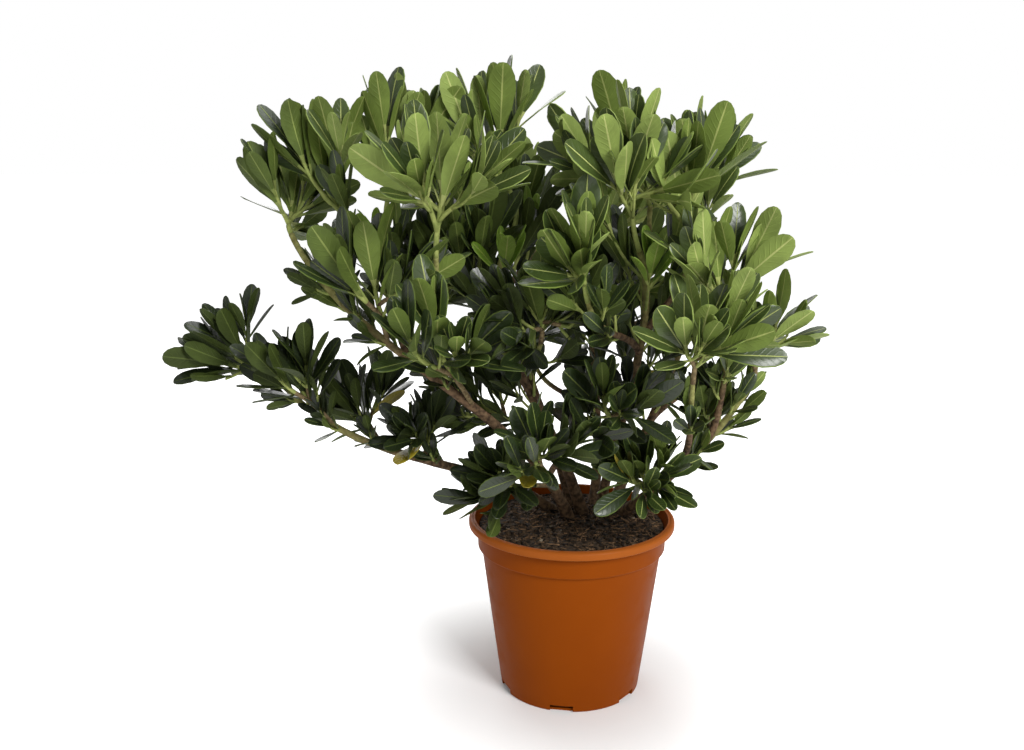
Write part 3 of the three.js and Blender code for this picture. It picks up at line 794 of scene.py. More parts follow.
BOUGHS = [
    ("left_upper_bough", "left_stem", 0.6, (-240, -30, 640)),
    ("left_front_bough", "left_stem", 0.5, (-160, -160, 610)),
    ("front_low_bough", "centre_stem", 0.14, (-38, -130, 350)),
    ("centre_front_bough", "centre_stem", 0.5, (-40, -100, 500)),
    ("centre_back_bough", "centre_stem", 0.72, (-42, 110, 620)),
    ("bright_bough", "right_centre_stem", 0.62, (16, -160, 560)),
    ("right_top_bough", "right_centre_stem", 0.8, (95, -5, 660)),
    ("right_outer_bough", "right_centre_stem", 0.66, (140, -95, 605)),
    ("right_upper_bough", "right_stem", 0.72, (185, -115, 505)),
    ("right_face_bough", "right_stem", 0.5, (140, -160, 465)),
    ("inner_right_bough", "back_right_stem", 0.45, (75, 60, 490)),
    ("back_right_bough", "back_right_stem", 0.4, (190, 160, 420)),
    ("back_left_bough", "back_left_stem", 0.5, (-190, 120, 470)),
    ("back_low_bough", "back_stem", 0.35, (-60, 215, 410)),
]


def stem_radius(length):
    def radius_at(share):
        height = max(0.0, share * length - STEM_SPARE)
        taper = lerp(STEM_FOOT_RADIUS, STEM_TIP_RADIUS, share)
        return taper * (1 + FLARE * math.exp(-height / FLARE_HEIGHT))
    return radius_at


def make_stem(foot, first_bend, second_bend, tip):
    curve = Curve((*foot, SOIL_TOP - STEM_SPARE), first_bend, second_bend, tip)
    return {"curve": curve, "radius_at": stem_radius(curve.length)}


def make_bough(stem, at, end):
    start = stem["curve"].at(at)
    tip = np.array(end, float)
    across = tip - start
    length = np.linalg.norm(across)
    leaving = unit(stem["curve"].along(at) * BOUGH_FOLLOW_STEM + across / length)
    arriving = unit(across * BOUGH_AIM / length + UP * BOUGH_RISE)
    first_bend = start + leaving * BOUGH_LEAVE * length
    second_bend = tip - arriving * BOUGH_ARRIVE * length
    curve = Curve(start, first_bend, second_bend, tip)
    return {"curve": curve, "radius_at": lambda share: lerp(BOUGH_FOOT_RADIUS, BOUGH_TIP_RADIUS, share)}


limbs = {}
for name, *places in STEMS:
    limbs[name] = make_stem(*places)
for name, stem_name, at, end in BOUGHS:
    limbs[name] = make_bough(limbs[stem_name], at, end)
print(len(limbs), "limbs")

# %% [markdown]
# Each mass of foliage is a few shoots that gather round its heart. A leader grows on from the
# limb, side shoots leave it in turn at the golden angle, and each ends in a rosette. A row of the
# table names a mass and its limb, and gives the share of the limb where it starts, the place of
# its heart, how wide it spreads, its count of shoots and, for some, how strongly they turn up.

# %% Masses and shoots
AT_TIP = 1
LIFT = 1
TWIG_FOOT_RADIUS = 3.4
TWIG_FORK_RADIUS = 3.0
TWIG_TIP_RADIUS = 2.5
FIRST_FORK = 0.2
LAST_FORK = 0.75
SHOOT_BEND = 0.35
SHOOT_FOLLOW = 0.2
SHOOT_AIM = 0.5
SHOOT_RISE = 0.6
SHOOT_LEAN = 0.2
SHOOT_START = 0.3
SHOOT_STAGGER = 0.9
SHOOT_SEED = 1

MASSES = [
    ("far_left_leaves", "left_stem", AT_TIP, (-372, 0, 666), 30, 3),
    ("left_back_leaves", "left_upper_bough", 0.62, (-332, -10, 720), 30, 3),
    ("left_upper_leaves", "left_upper_bough", AT_TIP, (-228, 20, 740), 36, 3),
    ("left_front_leaves", "left_front_bough", AT_TIP, (-152, -172, 692), 44, 4),
    ("left_face_leaves", "left_stem", 0.66, (-240, -140, 576), 42, 3),
    ("left_middle_leaves", "left_stem", 0.42, (-160, -190, 518), 46, 3),
    ("low_left_tip_leaves", "low_left_stem", AT_TIP, (-442, -60, 470), 22, 3, 0.1),
    ("low_left_outer_leaves", "low_left_stem", 0.82, (-356, -90, 456), 26, 3, 0.6),
    ("low_left_leaves", "low_left_stem", 0.66, (-290, -4, 410), 34, 3, 0.5),
    ("low_inner_left_leaves", "low_left_stem", 0.52, (-190, -34, 378), 24, 2, 0.9),
    ("rim_leaves", "left_stem", 0.12, (-108, -100, 322), 34, 3, 0.3),
    ("front_low_leaves", "front_low_bough", AT_TIP, (-40, -182, 386), 42, 3),
    ("front_middle_leaves", "right_centre_stem", 0.4, (36, -150, 436), 46, 3),
    ("centre_front_leaves", "centre_front_bough", AT_TIP, (-40, -126, 545), 46, 3),
    ("bright_leaves", "bright_bough", AT_TIP, (9, -186, 612), 22, 2),
    ("top_centre_leaves", "centre_stem", AT_TIP, (-124, 36, 752), 30, 3),
    ("centre_back_leaves", "centre_back_bough", AT_TIP, (-100, 130, 636), 34, 3),
    ("right_top_front_leaves", "right_centre_stem", AT_TIP, (66, -128, 708), 40, 3),
    ("right_top_leaves", "right_top_bough", AT_TIP, (32, 8, 728), 34, 3),
    ("right_high_leaves", "right_outer_bough", AT_TIP, (116, -100, 700), 38, 3),
    ("far_right_top_leaves", "back_right_stem", AT_TIP, (156, 60, 714), 28, 3),
    ("right_upper_leaves", "right_upper_bough", AT_TIP, (168, -112, 602), 36, 3),
    ("right_outer_leaves", "right_stem", AT_TIP, (222, -62, 504), 38, 4),
    ("right_face_leaves", "right_face_bough", AT_TIP, (142, -184, 520), 36, 3),
    ("right_low_leaves", "right_stem", 0.66, (184, -44, 410), 24, 2),
    ("low_right_leaves", "right_stem", 0.3, (88, -84, 332), 24, 3, 0.6),
    ("inner_left_leaves", "centre_stem", 0.6, (-150, -20, 590), 48, 3),
    ("inner_middle_leaves", "centre_stem", 0.22, (-136, 34, 396), 54, 4),
    ("inner_right_leaves", "inner_right_bough", AT_TIP, (80, 50, 560), 48, 3),
    ("back_right_leaves", "back_right_bough", AT_TIP, (205, 160, 480), 52, 4),
    ("back_top_leaves", "back_stem", AT_TIP, (84, 235, 652), 52, 4),
    ("back_left_top_leaves", "back_left_stem", AT_TIP, (-165, 180, 665), 52, 4),
    ("back_left_leaves", "back_left_bough", AT_TIP, (-225, 135, 530), 50, 3),
    ("back_low_leaves", "back_low_bough", AT_TIP, (-80, 245, 470), 52, 4),
    ("back_middle_leaves", "back_stem", 0.55, (85, 225, 500), 48, 3),
]


def across_of(axis):
    """Two directions across an axis, the first as near to the plant's right as can be."""
    first = unit(np.array([1.0, 0, 0]) - axis * axis[0])
    return first, np.cross(axis, first)


def mass_shoots(mass, seed):
    limb_name, at, heart, span, count, *rest = mass[1:]
    lift = rest[0] if rest else LIFT
    heart = np.array(heart, float)
    draw = drawer(seed)
    limb = limbs[limb_name]["curve"]
    along = limb.along(at)
    base = limb.at(at)
    axis = unit(unit(heart - base) + UP * lift)
    first, second = across_of(axis)
    phase = draw() * 2 * math.pi
    shoots = []
    for i in range(count):
        turn = phase + i * GOLDEN_ANGLE
        out = span * math.sqrt((i + SHOOT_START) / count)
        rise = (draw() - 0.5) * span * SHOOT_STAGGER
        outward = first * math.cos(turn) + second * math.sin(turn)
        tip = heart + outward * out + axis * rise
        arriving = unit(axis * SHOOT_AIM + UP * SHOOT_RISE * lift + outward * SHOOT_LEAN * out / span)
        leader = i == 0
        start = base if leader else shoots[0]["curve"].at(lerp(FIRST_FORK, LAST_FORK, i / count))
        reach = np.linalg.norm(tip - start)
        leaving = along if leader and at == AT_TIP else unit(tip - start) + axis * SHOOT_FOLLOW
        pull = reach * SHOOT_BEND
        shoots.append({
            "curve": Curve(start, start + unit(leaving) * pull, tip - arriving * pull, tip),
            "foot_radius": TWIG_FOOT_RADIUS if leader else TWIG_FORK_RADIUS,
            "tip_radius": TWIG_TIP_RADIUS,
            "phase": draw() * 2 * math.pi,
            "lift": lift,
            "main": True,
            "leaf_share": 1,
        })
    return shoots


print(len(MASSES), "masses")


# %% [markdown]
# The source stops at the shoots. Here each shoot also bears side twigs below its rosette, by the
# same rule of the golden angle, each with a smaller rosette of its own. They fill the crown
# inside the reach that the shoots have: one on an outer shoot, where the photograph shows sky
# between the stems, and more in the shaded middle. The outer stretches of some limbs bear short
# sprigs in the same way, so that no stem runs bare where the photograph shows it in leaf. A row
# of sprigs gives its limb, the stretch that bears them, their count, their reach and the size of
# their leaves.

# %% Finer twigs
OUTER_SIDE_TWIGS = 1
INNER_SIDE_TWIGS = 3
INNER_RADIUS = 190
CROWN_MIDDLE = (-50, 20)
LOW_CROWN = 380
HIGH_CROWN = 640
OPEN_CROWN = 610
SIDE_FIRST = 0.3
SIDE_LAST = 0.68
SIDE_REACH = 52
SIDE_OUT = 0.85
SIDE_RISE = 0.5
SIDE_AIM = 0.8
SIDE_TURN = 1.5 * GOLDEN_ANGLE
SHORTEST_SIDE = 0.8
SIDE_PLAY = 0.4
LOW_SIDE_SHARE = 0.62
SIDE_FOOT_RADIUS = 2.2
SIDE_TIP_RADIUS = 1.5
SIDE_SEED = 5000
SPRIG_SEED = 7000
SPRIGS = [
    ("left_stem", 0.40, 0.88, 14, 34, 0.7),
    ("low_left_stem", 0.32, 0.97, 20, 32, 0.75),
    ("left_upper_bough", 0.3, 0.9, 5, 40, 0.8),
    ("centre_stem", 0.25, 0.92, 14, 84, 1),
    ("centre_front_bough", 0.2, 0.9, 4, 60, 1),
    ("centre_back_bough", 0.2, 0.9, 4, 60, 1),
    ("right_centre_stem", 0.3, 0.92, 13, 84, 1),
    ("right_stem", 0.5, 0.95, 9, 44, 0.85),
    ("right_face_bough", 0.15, 0.8, 4, 40, 0.85),
    ("right_upper_bough", 0.3, 0.8, 3, 40, 0.85),
    ("inner_right_bough", 0.2, 0.9, 5, 70, 1),
    ("back_right_stem", 0.3, 0.92, 10, 84, 1),
    ("back_left_stem", 0.3, 0.92, 10, 84, 1),
    ("back_stem", 0.3, 0.92, 10, 84, 1),
    ("bright_bough", 0.3, 0.85, 6, 42, 0.85),
]


def side_twigs(bearer, count, first_at, last_at, usual_reach, seed, leaf_share=1):
    draw = drawer(seed)
    twigs = []
    for i in range(count):
        share = lerp(first_at, last_at, (i + draw()) / count)
        start = bearer["curve"].at(share)
        axis = bearer["curve"].along(share)
        first, second = across_of(axis)
        turn = bearer["phase"] + (i + 1) * SIDE_TURN + draw()
        outward = first * math.cos(turn) + second * math.sin(turn)
        grown = lerp(LOW_SIDE_SHARE, 1, smoothstep(start[2], LOW_CROWN, HIGH_CROWN))
        reach = usual_reach * (SHORTEST_SIDE + SIDE_PLAY * draw()) * grown
        rising = unit(axis + UP * SIDE_RISE * bearer["lift"] + outward * SIDE_OUT)
        tip = start + rising * reach
        arriving = unit(rising + UP * SIDE_AIM * bearer["lift"])
        pull = reach * SHOOT_BEND
        twigs.append({
            "curve": Curve(start, start + unit(axis + outward) * pull, tip - arriving * pull, tip),
            "foot_radius": SIDE_FOOT_RADIUS,
            "tip_radius": SIDE_TIP_RADIUS,
            "phase": draw() * 2 * math.pi,
            "lift": bearer["lift"],
            "main": False,
            "leaf_share": leaf_share,
        })
    return twigs


print(len(SPRIGS), "limbs with sprigs")


# %% [markdown]
# A shoot or twig that would run into a limb is left out, as in the source. Distances are taken
# to points along every limb's heart, less the limb's own radius there.

# %% What a shoot has to stay clear of
LIMB_POINTS = 60
NEAR = 150
CELL_RISE = 32
SHOOT_CHECKS = np.linspace(0.35, 1, 8)
TWIG_CHECKS = np.linspace(0.75, 1, 5)
TWIG_ROOM = 4

shares = np.linspace(0, 1, LIMB_POINTS)
limb_hearts = np.concatenate([limb["curve"].at(shares) for limb in limbs.values()])
limb_radii = np.array([limb["radius_at"](share) for limb in limbs.values() for share in shares])


def limb_room(points):
    """How far the points keep from the bark of the limbs around them."""
    around = np.abs(limb_hearts - points[0]).max(axis=1) < NEAR
    if not around.any():
        return NEAR
    away = np.linalg.norm(points[:, None] - limb_hearts[None, around], axis=2) - limb_radii[around]
    return away.min()


shoots = []
for index, mass in enumerate(MASSES):
    for shoot in mass_shoots(mass, SHOOT_SEED + index):
        if limb_room(shoot["curve"].at(SHOOT_CHECKS)) > TWIG_ROOM:
            shoot["index"] = index
            shoots.append(shoot)
sites = np.array([mass[3] for mass in MASSES], float) + UP * CELL_RISE


def keep_twigs(twigs, owner=None):
    """Adds the twigs that have room, each to its bearer's mass or to the mass it ends in."""
    for twig in twigs:
        if limb_room(twig["curve"].at(TWIG_CHECKS)) > TWIG_ROOM:
            nearest = np.linalg.norm(sites - twig["curve"].tip, axis=1).argmin()
            twig["index"] = nearest if owner is None else owner
            shoots.append(twig)


for number, shoot in enumerate(list(shoots)):
    x, y, z = shoot["curve"].tip
    inside = math.hypot(x - CROWN_MIDDLE[0], y - CROWN_MIDDLE[1]) < INNER_RADIUS and z < OPEN_CROWN
    count = INNER_SIDE_TWIGS if inside else OUTER_SIDE_TWIGS
    twigs = side_twigs(shoot, count, SIDE_FIRST, SIDE_LAST, SIDE_REACH, SIDE_SEED + number)
    keep_twigs(twigs, shoot["index"])
for number, (name, first_at, last_at, count, reach, leaf_share) in enumerate(SPRIGS):
    bearer = {"curve": limbs[name]["curve"], "phase": 0.0, "lift": LIFT}
    keep_twigs(side_twigs(bearer, count, first_at, last_at, reach, SPRIG_SEED + number, leaf_share))
print(len(shoots), "shoots, side twigs and sprigs")

# %% [markdown]
# Leaves stand round a shoot's tip at the golden angle: the inner ones upright, the outer ones
# spreading, and all bent a little outwards. Each has a second, more upright place to try. A leaf
# is skipped where it would hang, leave its mass's space, run into a limb or meet another rosette.

# %% Leaf sizes and places
LEAF_SEED = 1000
MAIN_LEAVES = 8
SIDE_LEAVES = 6
MAIN_DEPTH = 40
SIDE_DEPTH = 24
MAIN_LENGTH = 101
SIDE_LENGTH = 74
SHORTEST_LEAF = 0.80
LEAF_PLAY = 0.28
LOW_LEAF_SHARE = 0.76
NEWEST_SHARE = 0.62
NEW_LEAVES = 0.25
INNER_TILT = math.radians(5)
LOW_OUTER_TILT = math.radians(46)
HIGH_OUTER_TILT = math.radians(30)
TURN_PLAY = 0.35
TILT_PLAY = 0.25
CLOSED_TILT = 0.6
ROSETTE_SHARE = 0.85


def rosette(shoot, draw):
    count = MAIN_LEAVES if shoot["main"] else SIDE_LEAVES
    depth = MAIN_DEPTH if shoot["main"] else SIDE_DEPTH
    curve = shoot["curve"]
    lift = smoothstep(curve.tip[2], LOW_CROWN, HIGH_CROWN)
    outer = lerp(LOW_OUTER_TILT, HIGH_OUTER_TILT, lift)
    leaves = []
    for k in range(count):
        age = (k + 0.5) / count
        share = 1 - min(ROSETTE_SHARE, age * depth / curve.length)
        axis = curve.along(share)
        first, second = across_of(axis)
        turn = shoot["phase"] + k * GOLDEN_ANGLE + (draw() - 0.5) * TURN_PLAY
        spread = lerp(INNER_TILT, outer, age) + (draw() - 0.5) * TILT_PLAY
        length = (MAIN_LENGTH if shoot["main"] else SIDE_LENGTH) * (SHORTEST_LEAF + LEAF_PLAY * draw())
        length *= lerp(NEWEST_SHARE, 1, min(1, age / NEW_LEAVES)) * lerp(LOW_LEAF_SHARE, 1, lift)
        length *= shoot["leaf_share"]
        outward = first * math.cos(turn) + second * math.sin(turn)
        manner = (draw(), draw(), draw(), draw())
        leaves.append([{
            "root": curve.at(share),
            "along": axis * math.cos(tilt) + outward * math.sin(tilt),
            "face": axis * math.sin(tilt) - outward * math.cos(tilt),
            "length": length,
            "manner": manner,
            "oldest": k == count - 1,
        } for tilt in (spread, spread * CLOSED_TILT)])
    return leaves


print(MAIN_LEAVES, "or", SIDE_LEAVES, "leaves in a rosette")


# %% [markdown]
# One leaf is a thin closed blade. Its outline is spoon-shaped: narrow from the stalk, widest at
# two thirds and round at the tip. It could be a flat card, but then its margin would have no
# edge to catch the light. Eight points go round it at each of seven stations: the margins, a
# pair just inside them where the edge rolls under, and the strip of the midrib, on both sides.

# %% Leaf outline
STATIONS = [0.05, 0.2, 0.45, 0.68, 0.84, 0.94, 0.988]
# Points round the blade: the share across it, and the rise above its middle in thicknesses.
COLUMNS = [
    (-1, 0), (-0.93, 0.5), (-0.05, 0.5), (0.05, 0.5), (0.93, 0.5), (1, 0), (0.06, -1), (-0.06, -1),
]
STRIPS = np.array([UNDER, UPPER, RIB, UPPER, UNDER, UNDER, RIB, UNDER])
STALK_ROWS = 2
WIDEST_AT = 0.68
HALF_WIDTH = 0.178
STALK_HALF = 0.016
BLADE_FULLNESS = 0.85
TIP_ROUNDNESS = 2.2


def blade_half(share):
    """Half the blade's width at a share of its length, of its widest half."""
    rising = np.clip(share / WIDEST_AT, 0, 1)
    closing = np.clip((share - WIDEST_AT) / (1 - WIDEST_AT), 0, 1)
    wide = (0.5 - 0.5 * np.cos(math.pi * rising)) ** BLADE_FULLNESS
    return np.maximum(wide * np.sqrt(1 - closing ** TIP_ROUNDNESS), STALK_HALF / HALF_WIDTH)


blade_points = [(station, *column) for station in STATIONS for column in COLUMNS]
blade = np.array([(0, 0, 0), *blade_points, (1, 0, 0)], float).T
blade_faces, strips, rows = ringed_faces(len(COLUMNS), len(STATIONS))
blade_sides = np.where(rows < STALK_ROWS, RIB, STRIPS[strips])
print("a leaf has", len(blade_faces), "faces")


# %% [markdown]
# All leaves come from that one blade. Each is stretched to its length and width and given its
# own bend, fold, twist and rolled margin, then set at its root.

# %% Shape a leaf
BLADE_THICKNESS = 0.9
RIB_RISE = 0.9
BEND_LEAST = -0.05
BEND_MOST = 0.16
FOLD_LEAST = 0.10
FOLD_MOST = 0.30
ROLL_UNDER = 0.14
ROLL_SHARPNESS = 6
TWIST_MOST = 0.8
NARROWEST = 0.84


def shaped_blade(leaf, along, across, lift):
    """Where points of the blade, given as shares along and across it, come to lie on this leaf."""
    length = leaf["length"]
    bend, fold, twist, width = leaf["manner"]
    half = blade_half(along) * length * HALF_WIDTH * lerp(NARROWEST, 1, width)
    x = across * half
    z = lerp(FOLD_LEAST, FOLD_MOST, fold) * np.abs(x)
    z -= ROLL_UNDER * half * np.abs(across) ** ROLL_SHARPNESS
    z -= lerp(BEND_LEAST, BEND_MOST, bend) * along ** 2 * length
    z += lift * BLADE_THICKNESS + np.where(lift == -1.0, -RIB_RISE * (1 - along), 0)
    angle = TWIST_MOST * (twist - 0.5) * along
    side = np.cross(leaf["along"], leaf["face"])
    place = leaf["root"] + np.outer(along * length, leaf["along"])
    return place + np.outer(x * np.cos(angle), side) + np.outer(z + x * np.sin(angle), leaf["face"])


# %% [markdown]
# The leaves are tried one after another, shoot by shoot. Three points along the midrib show if a
# leaf keeps to its space, and a grid of points over its shaped blade shows if it meets a limb.

# %% Grow the leaves
SAMPLES_AT = np.array([0.4, 0.7, 0.97])
USUAL_BEND = 0.12
GRID_ALONG = np.linspace(0.25, 0.97, 9)
GRID_ACROSS = np.linspace(-1, 1, 5)
BLADE_ROOM = 0.8
CELL_OVERLAP = 30
LEAF_APART = 9
LEAST_RISE = -0.3
BOX_SPARE = 6

box_low = np.array(CAD_BOX[0]) / MM - BOX_SPARE
box_high = np.array(CAD_BOX[1]) / MM + BOX_SPARE
grid_along = np.repeat(GRID_ALONG, len(GRID_ACROSS))
grid_across = np.tile(GRID_ACROSS, len(GRID_ALONG))
grid = (grid_along, grid_across, np.zeros(len(grid_along)))


def samples_of(leaf):
    steps = SAMPLES_AT[:, None] * leaf["length"]
    bend = USUAL_BEND * steps ** 2 / leaf["length"]
    return leaf["root"] + leaf["along"] * steps - leaf["face"] * bend


def in_cell(points, own):
    """Whether the points stay on their own mass's side, or nearly, of each other mass."""
    others = np.delete(sites, own, axis=0)
    ways = others - sites[own]
    ways /= np.linalg.norm(ways, axis=1)[:, None]
    middles = (others + sites[own]) / 2
    past = ((points[:, None] - middles[None]) * ways[None]).sum(axis=2)
    return (past < CELL_OVERLAP).all()


def has_room(leaf, points, own, taken):
    if leaf["along"][2] < LEAST_RISE or not in_cell(points, own):
        return False
    if (points < box_low).any() or (points > box_high).any():
        return False
    if limb_room(shaped_blade(leaf, *grid)) < BLADE_ROOM:
        return False
    return (np.linalg.norm(points[1:, None] - taken[None], axis=2) >= LEAF_APART).all()


leaves = []
taken = np.zeros((0, 3))
for number, shoot in enumerate(shoots):
    draw = drawer(LEAF_SEED + number)
    added = []
    for places in rosette(shoot, draw):
        for leaf in places:
            points = samples_of(leaf)
            if has_room(leaf, points, shoot["index"], taken):
                leaf["shoot"] = shoot
                leaves.append(leaf)
                added.append(points)
                break
    taken = np.concatenate([taken, *added])
print(len(leaves), "leaves")

# %% [markdown]
# The tint is chosen by spray, so that a rosette keeps one colour, lighter high and outside and
# darker low and inside: painted light and painted shade, for the lamps' light and the crown's
# shade. Chance alone would speckle the crown. Every leaf then becomes a copy of the one blade,
# shaped in its own way, with a margin that stays sharp.

# %% Tints and joined leaves
TINT_SEED = 9000
HEIGHT_LIGHT = 0.50
OUTSIDE_LIGHT = 0.22
RIGHT_LIGHT = 0.30
TOP_LIGHT = 0.12
INNER_SHADE = 0.22
LEFT_SHADE = 0.28
LOW_LIGHT = 0.42
TINT_PLAY = 0.26
# Where each influence on the light starts and where it is full, in millimetres.
OUTSIDE_REACH = (60, 260)
HEIGHT_REACH = (360, 680)
TOP_REACH = (620, 720)
RIGHT_REACH = (70, 190)
RIGHT_HEIGHT_REACH = (400, 480)
LEFT_REACH = (-320, -100)
LOW_REACH = (280, 470)
# The least light of each step, the share of sprays with its first tint, and its two tints.
TINT_STEPS = [
    (0.62, 0.60, "sage", "fresh"),
    (0.42, 0.30, "fresh", "green"),
    (0.20, 0.75, "deep", "green"),
    (-math.inf, 0.50, "dark", "deep"),
]
YOUNG_SHARE = 0.02
AGEING_SHARE = 0.06
AGEING_BELOW = 440
SHARP_MARGIN = math.radians(50)


def tint_of(shoot, draw):
    # The light worked out here is painted into the leaves' colours: painted light high, outside, on the
    # right, at the top and low down, and painted shade inside and on the left.
    x, y, z = shoot["curve"].tip
    outside = smoothstep(math.hypot(x - CROWN_MIDDLE[0], y - CROWN_MIDDLE[1]), *OUTSIDE_REACH)
    top = smoothstep(z, *TOP_REACH)
    lit_side = smoothstep(x, *RIGHT_REACH) * smoothstep(z, *RIGHT_HEIGHT_REACH)
    light = HEIGHT_LIGHT * smoothstep(z, *HEIGHT_REACH) + OUTSIDE_LIGHT * outside
    light += RIGHT_LIGHT * lit_side + TOP_LIGHT * top
    light -= INNER_SHADE * (1 - outside) * (1 - top) + LEFT_SHADE * (1 - smoothstep(x, *LEFT_REACH))
    light += LOW_LIGHT * (1 - smoothstep(z, *LOW_REACH)) + TINT_PLAY * (draw() - 0.5)
    if draw() < YOUNG_SHARE:
        return "young"
    for least, share, usual, other in TINT_STEPS:
        if light > least:
            return usual if draw() < share else other


def leaf_piece(name, chosen, nodes):
    corners, sizes = flat_faces(blade_faces)
    along, across, _ = blade
    leaf_map = np.stack([along, HALF_ACROSS * (1 + across)], axis=1)
    parts = []
    for leaf in chosen:
        tones = TINT_NAMES.index(leaf["tint"]) * len(LEAF_SIDES) + blade_sides
        parts.append((shaped_blade(leaf, *blade), corners, sizes, tones, leaf_map))
    piece = joined_mesh(name, parts, leaf_finishes)
    pick(piece)
    bpy.ops.object.shade_smooth_by_angle(angle=SHARP_MARGIN)
    return finish_piece(piece, name, nodes)


for number, shoot in enumerate(shoots):
    shoot["tint"] = tint_of(shoot, drawer(TINT_SEED + number))
draw = drawer(TINT_SEED)
for leaf in leaves:
    ageing = leaf["oldest"] and leaf["root"][2] < AGEING_BELOW and draw() < AGEING_SHARE
    leaf["tint"] = "yellowing" if ageing else leaf["shoot"]["tint"]
print("tints", sorted({leaf["tint"] for leaf in leaves}))

# %% [markdown]
# The whole foliage could be one mesh, but it would be a heavy one. It is joined into five sprays,
# each of the masses in one part of the crown, and each spray stands for those masses' solids.

# %% Join the leaves into sprays
SPRAYS = {
    "left": "far_left left_back left_upper left_front left_face left_middle",
    "low_left": "low_left_tip low_left_outer low_left low_inner_left rim",
    "centre": "front_low front_middle centre_front bright top_centre centre_back "
              "inner_left inner_middle inner_right",
    "right": "right_top_front right_top right_high far_right_top right_upper right_outer "
             "right_face right_low low_right",
    "back": "back_right back_top back_left_top back_left back_low back_middle",
}
for spray, members in SPRAYS.items():
    nodes = [f"{member}_leaves" for member in members.split()]
    chosen = [leaf for leaf in leaves if MASSES[leaf["shoot"]["index"]][0] in nodes]
    leaf_piece(f"{spray}_sprays", chosen, nodes)

# %% [markdown]
# Twigs are tapering tubes along the shoots' curves. A bevelled curve for each of some hundreds
# would be slow, so their rings are worked out here and all of them joined. Older wood at the foot
# is brown, the growth that bears the leaves is yellow-green.

# %% Twigs
TWIG_SIDES = 7
TWIG_RING_STEP = 9
FEWEST_RINGS = 3
GREEN_FROM = 0.45
WOOD, SKIN = 0, 1


def twig_part(shoot):
    """A closed, tapering tube, its rings carried on without twist."""
    curve, foot, tip = shoot["curve"], shoot["foot_radius"], shoot["tip_radius"]
    steps = max(FEWEST_RINGS, int(curve.length / TWIG_RING_STEP))
    shares = np.linspace(0, 1, steps + 1)
    turns = 2 * math.pi * np.arange(TWIG_SIDES)[:, None] / TWIG_SIDES
    side = np.array([1.0, 0, 0])
    rings = []
    for share, heart, way in zip(shares, curve.at(shares), curve.along(shares)):
        side = unit(side - way * side.dot(way))
        out = side * np.cos(turns) + np.cross(way, side) * np.sin(turns)
        rings.append(heart + out * lerp(foot, tip, share))
    points = np.concatenate([curve.at([0]), *rings, curve.at([1]) + curve.along([1]) * tip])
    faces, _, rows = ringed_faces(TWIG_SIDES, len(rings))
    woody_to = GREEN_FROM if shoot["main"] and curve.tip[2] < OPEN_CROWN else 0
    tones = np.where(np.clip((rows - 0.5) / steps, 0, 1) > woody_to, SKIN, WOOD)
    return points, *flat_faces(faces), tones, None


twigs = joined_mesh("twigs", [twig_part(shoot) for shoot in shoots], [twig_bark, shoot_skin])
finish_piece(twigs, "twigs")

# %% [markdown]
# Stems and boughs are limbs of old wood. Extruding them ring by ring would leave corners in their
# bends, so each is drawn as a curve whose points carry the limb's radius, with a round bevel. The
# curve becomes a mesh, and two cloud textures give it the knots and the furrows of bark.

# %% Limbs with bark
LIMB_CUTS = 11
LIMB_RESOLUTION = 9
LIMB_BEVEL = 5
LIMB_DOUBLES = 0.01
BARK_RELIEFS = [(cloud("knots", 0.022, 1), 1.1), (cloud("furrows", 0.004, 3), 0.7)]


def bark_limb(name, limb):
    begin()
    bpy.ops.curve.primitive_bezier_curve_add(location=(0, 0, 0))
    line = bpy.context.object
    line.data.dimensions = "3D"
    first, last = line.data.splines[0].bezier_points
    start, leave, arrive, end = limb["curve"].pulls * MM
    for point, place, before, after in ((first, start, start, leave), (last, end, arrive, end)):
        point.handle_left_type = "FREE"
        point.handle_right_type = "FREE"
        point.co = place
        point.handle_left = before
        point.handle_right = after
    enter_edit()
    bpy.ops.curve.select_all(action="SELECT")
    bpy.ops.curve.subdivide(number_cuts=LIMB_CUTS)
    leave_edit()
    line_points = line.data.splines[0].bezier_points
    for k, point in enumerate(line_points):
        point.radius = limb["radius_at"](k / (len(line_points) - 1))
    line.data.bevel_depth = MM
    line.data.bevel_resolution = LIMB_BEVEL
    line.data.resolution_u = LIMB_RESOLUTION
    line.data.use_fill_caps = True
    bpy.ops.object.convert(target="MESH")
    piece = bpy.context.object
    pick(piece)
    enter_edit()
    close_mesh(LIMB_DOUBLES)
    roughen(piece, BARK_RELIEFS)
    bpy.ops.object.shade_smooth()
    hearts = limb["curve"].at(np.linspace(0, 1, LIMB_POINTS)) * MM
    places = np.array([vertex.co for vertex in piece.data.vertices])
    nearest = np.linalg.norm(places[:, None] - hearts[None], axis=2).argmin(axis=1)
    limb_share = piece.data.attributes.new("limb_share", "FLOAT", "POINT")
    limb_share.data.foreach_set("value", (nearest / (LIMB_POINTS - 1)).astype(np.float32))
    paint(piece, bark)
    finish_piece(piece, f"{name}_bark", [name])


for name, limb in limbs.items():
    bark_limb(name, limb)

# %% [markdown]
# The surface of the mix is loose: dark crumbs, reddish bark fibres and a few pale chips. Relief
# alone looks like paste, so they are small irregular blocks, scattered by the seeded draw and
# joined. A row gives the kind, its count, its size and how much longer it is than wide.

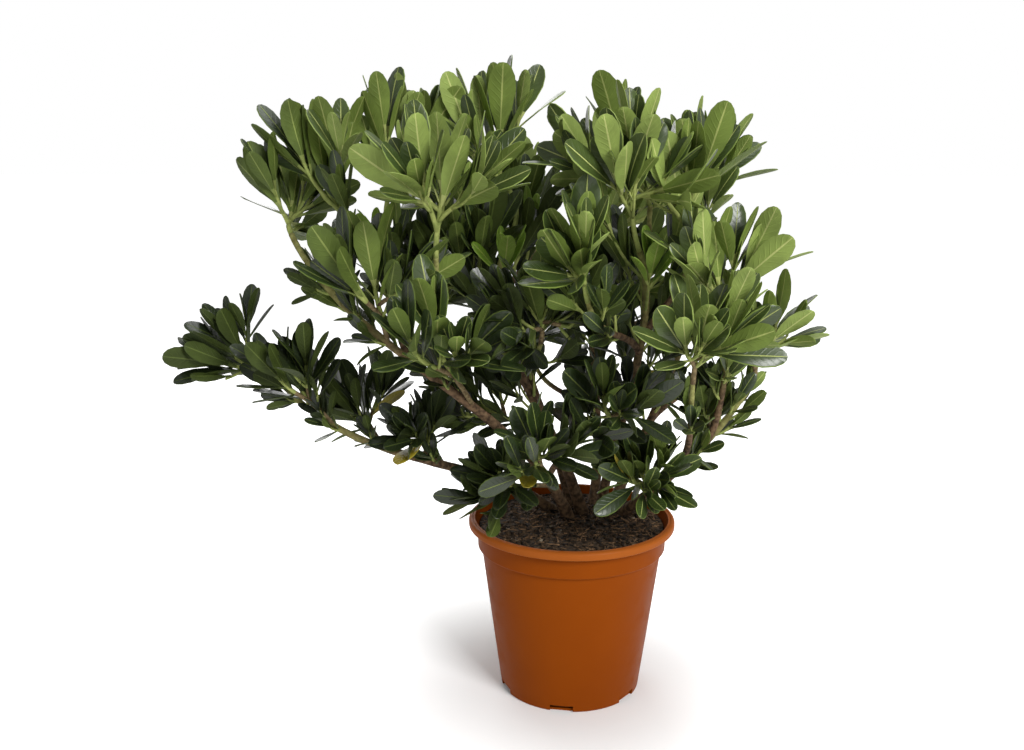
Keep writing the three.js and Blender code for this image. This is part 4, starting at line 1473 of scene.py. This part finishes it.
# %% Loose bits on the soil
BITS_SEED = 77
BIT_KINDS = [("crumb", 560, 3.0, 1.0), ("fibre", 520, 0.85, 12.0), ("chip", 18, 2.2, 1.6)]
BITS_FROM_WALL = 6
BITS_BELOW_EDGE = 6
SMALLEST_BIT = 0.4
BIT_PLAY = 0.5
CORNER_PLAY = 0.5
SHORTEST_FIBRE = 0.5
BIT_FLATNESS = 0.7
BIT_TILT = 0.7
BIT_RISE = 0.25
CUBE_CORNERS = np.array([(x, y, z) for x in (-1, 1) for y in (-1, 1) for z in (-1, 1)], float)
CUBE_FACES = [(0, 1, 3, 2), (4, 6, 7, 5), (0, 4, 5, 1), (2, 3, 7, 6), (0, 2, 6, 4), (1, 5, 7, 3)]

soil_points = np.array([vertex.co for vertex in soil.data.vertices]) / MM
soil_points = soil_points[soil_points[:, 2] > SOIL_EDGE - BITS_BELOW_EDGE]
draw = drawer(BITS_SEED)
corners, sizes = flat_faces(CUBE_FACES)
parts = []
for tone, (kind, count, size, stretch) in enumerate(BIT_KINDS):
    for _ in range(count):
        radius = (COLLAR_RADIUS - gap - BITS_FROM_WALL) * math.sqrt(draw())
        turn = draw() * 2 * math.pi
        x, y = radius * math.cos(turn), radius * math.sin(turn)
        nearest = soil_points[((soil_points[:, :2] - (x, y)) ** 2).sum(axis=1).argmin()]
        half = size * (SMALLEST_BIT + BIT_PLAY * draw())
        play = np.array([[draw() for _ in range(3)] for _ in CUBE_CORNERS])
        long = half * stretch * (SHORTEST_FIBRE + draw() if kind == "fibre" else 1)
        block = CUBE_CORNERS * (1 + CORNER_PLAY * (play - 0.5)) * (long, half, half * BIT_FLATNESS)
        yaw, pitch = draw() * math.pi, (draw() - 0.5) * BIT_TILT
        turned = np.array([
            (math.cos(yaw) * math.cos(pitch), math.sin(yaw) * math.cos(pitch), math.sin(pitch)),
            (-math.sin(yaw), math.cos(yaw), 0),
            (-math.cos(yaw) * math.sin(pitch), -math.sin(yaw) * math.sin(pitch), math.cos(pitch)),
        ])
        block = block @ turned + (x, y, nearest[2] + half * BIT_RISE)
        parts.append((block, corners, sizes, np.full(len(sizes), tone), None))
bits = joined_mesh("soil_bits", parts, [soil_mix, soil_fibre, soil_chip])
finish_piece(bits, "soil_bits")

# %% [markdown]
# Last, the box of the finished plant is printed beside that of the imported model, so that the two
# can be compared.

# %% Sizes
VISUAL_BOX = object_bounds()
sizes = {
    "cad": [list(corner) for corner in CAD_BOX],
    "visual": [list(corner) for corner in VISUAL_BOX],
}
print("cad", sizes["cad"], "visual", sizes["visual"])
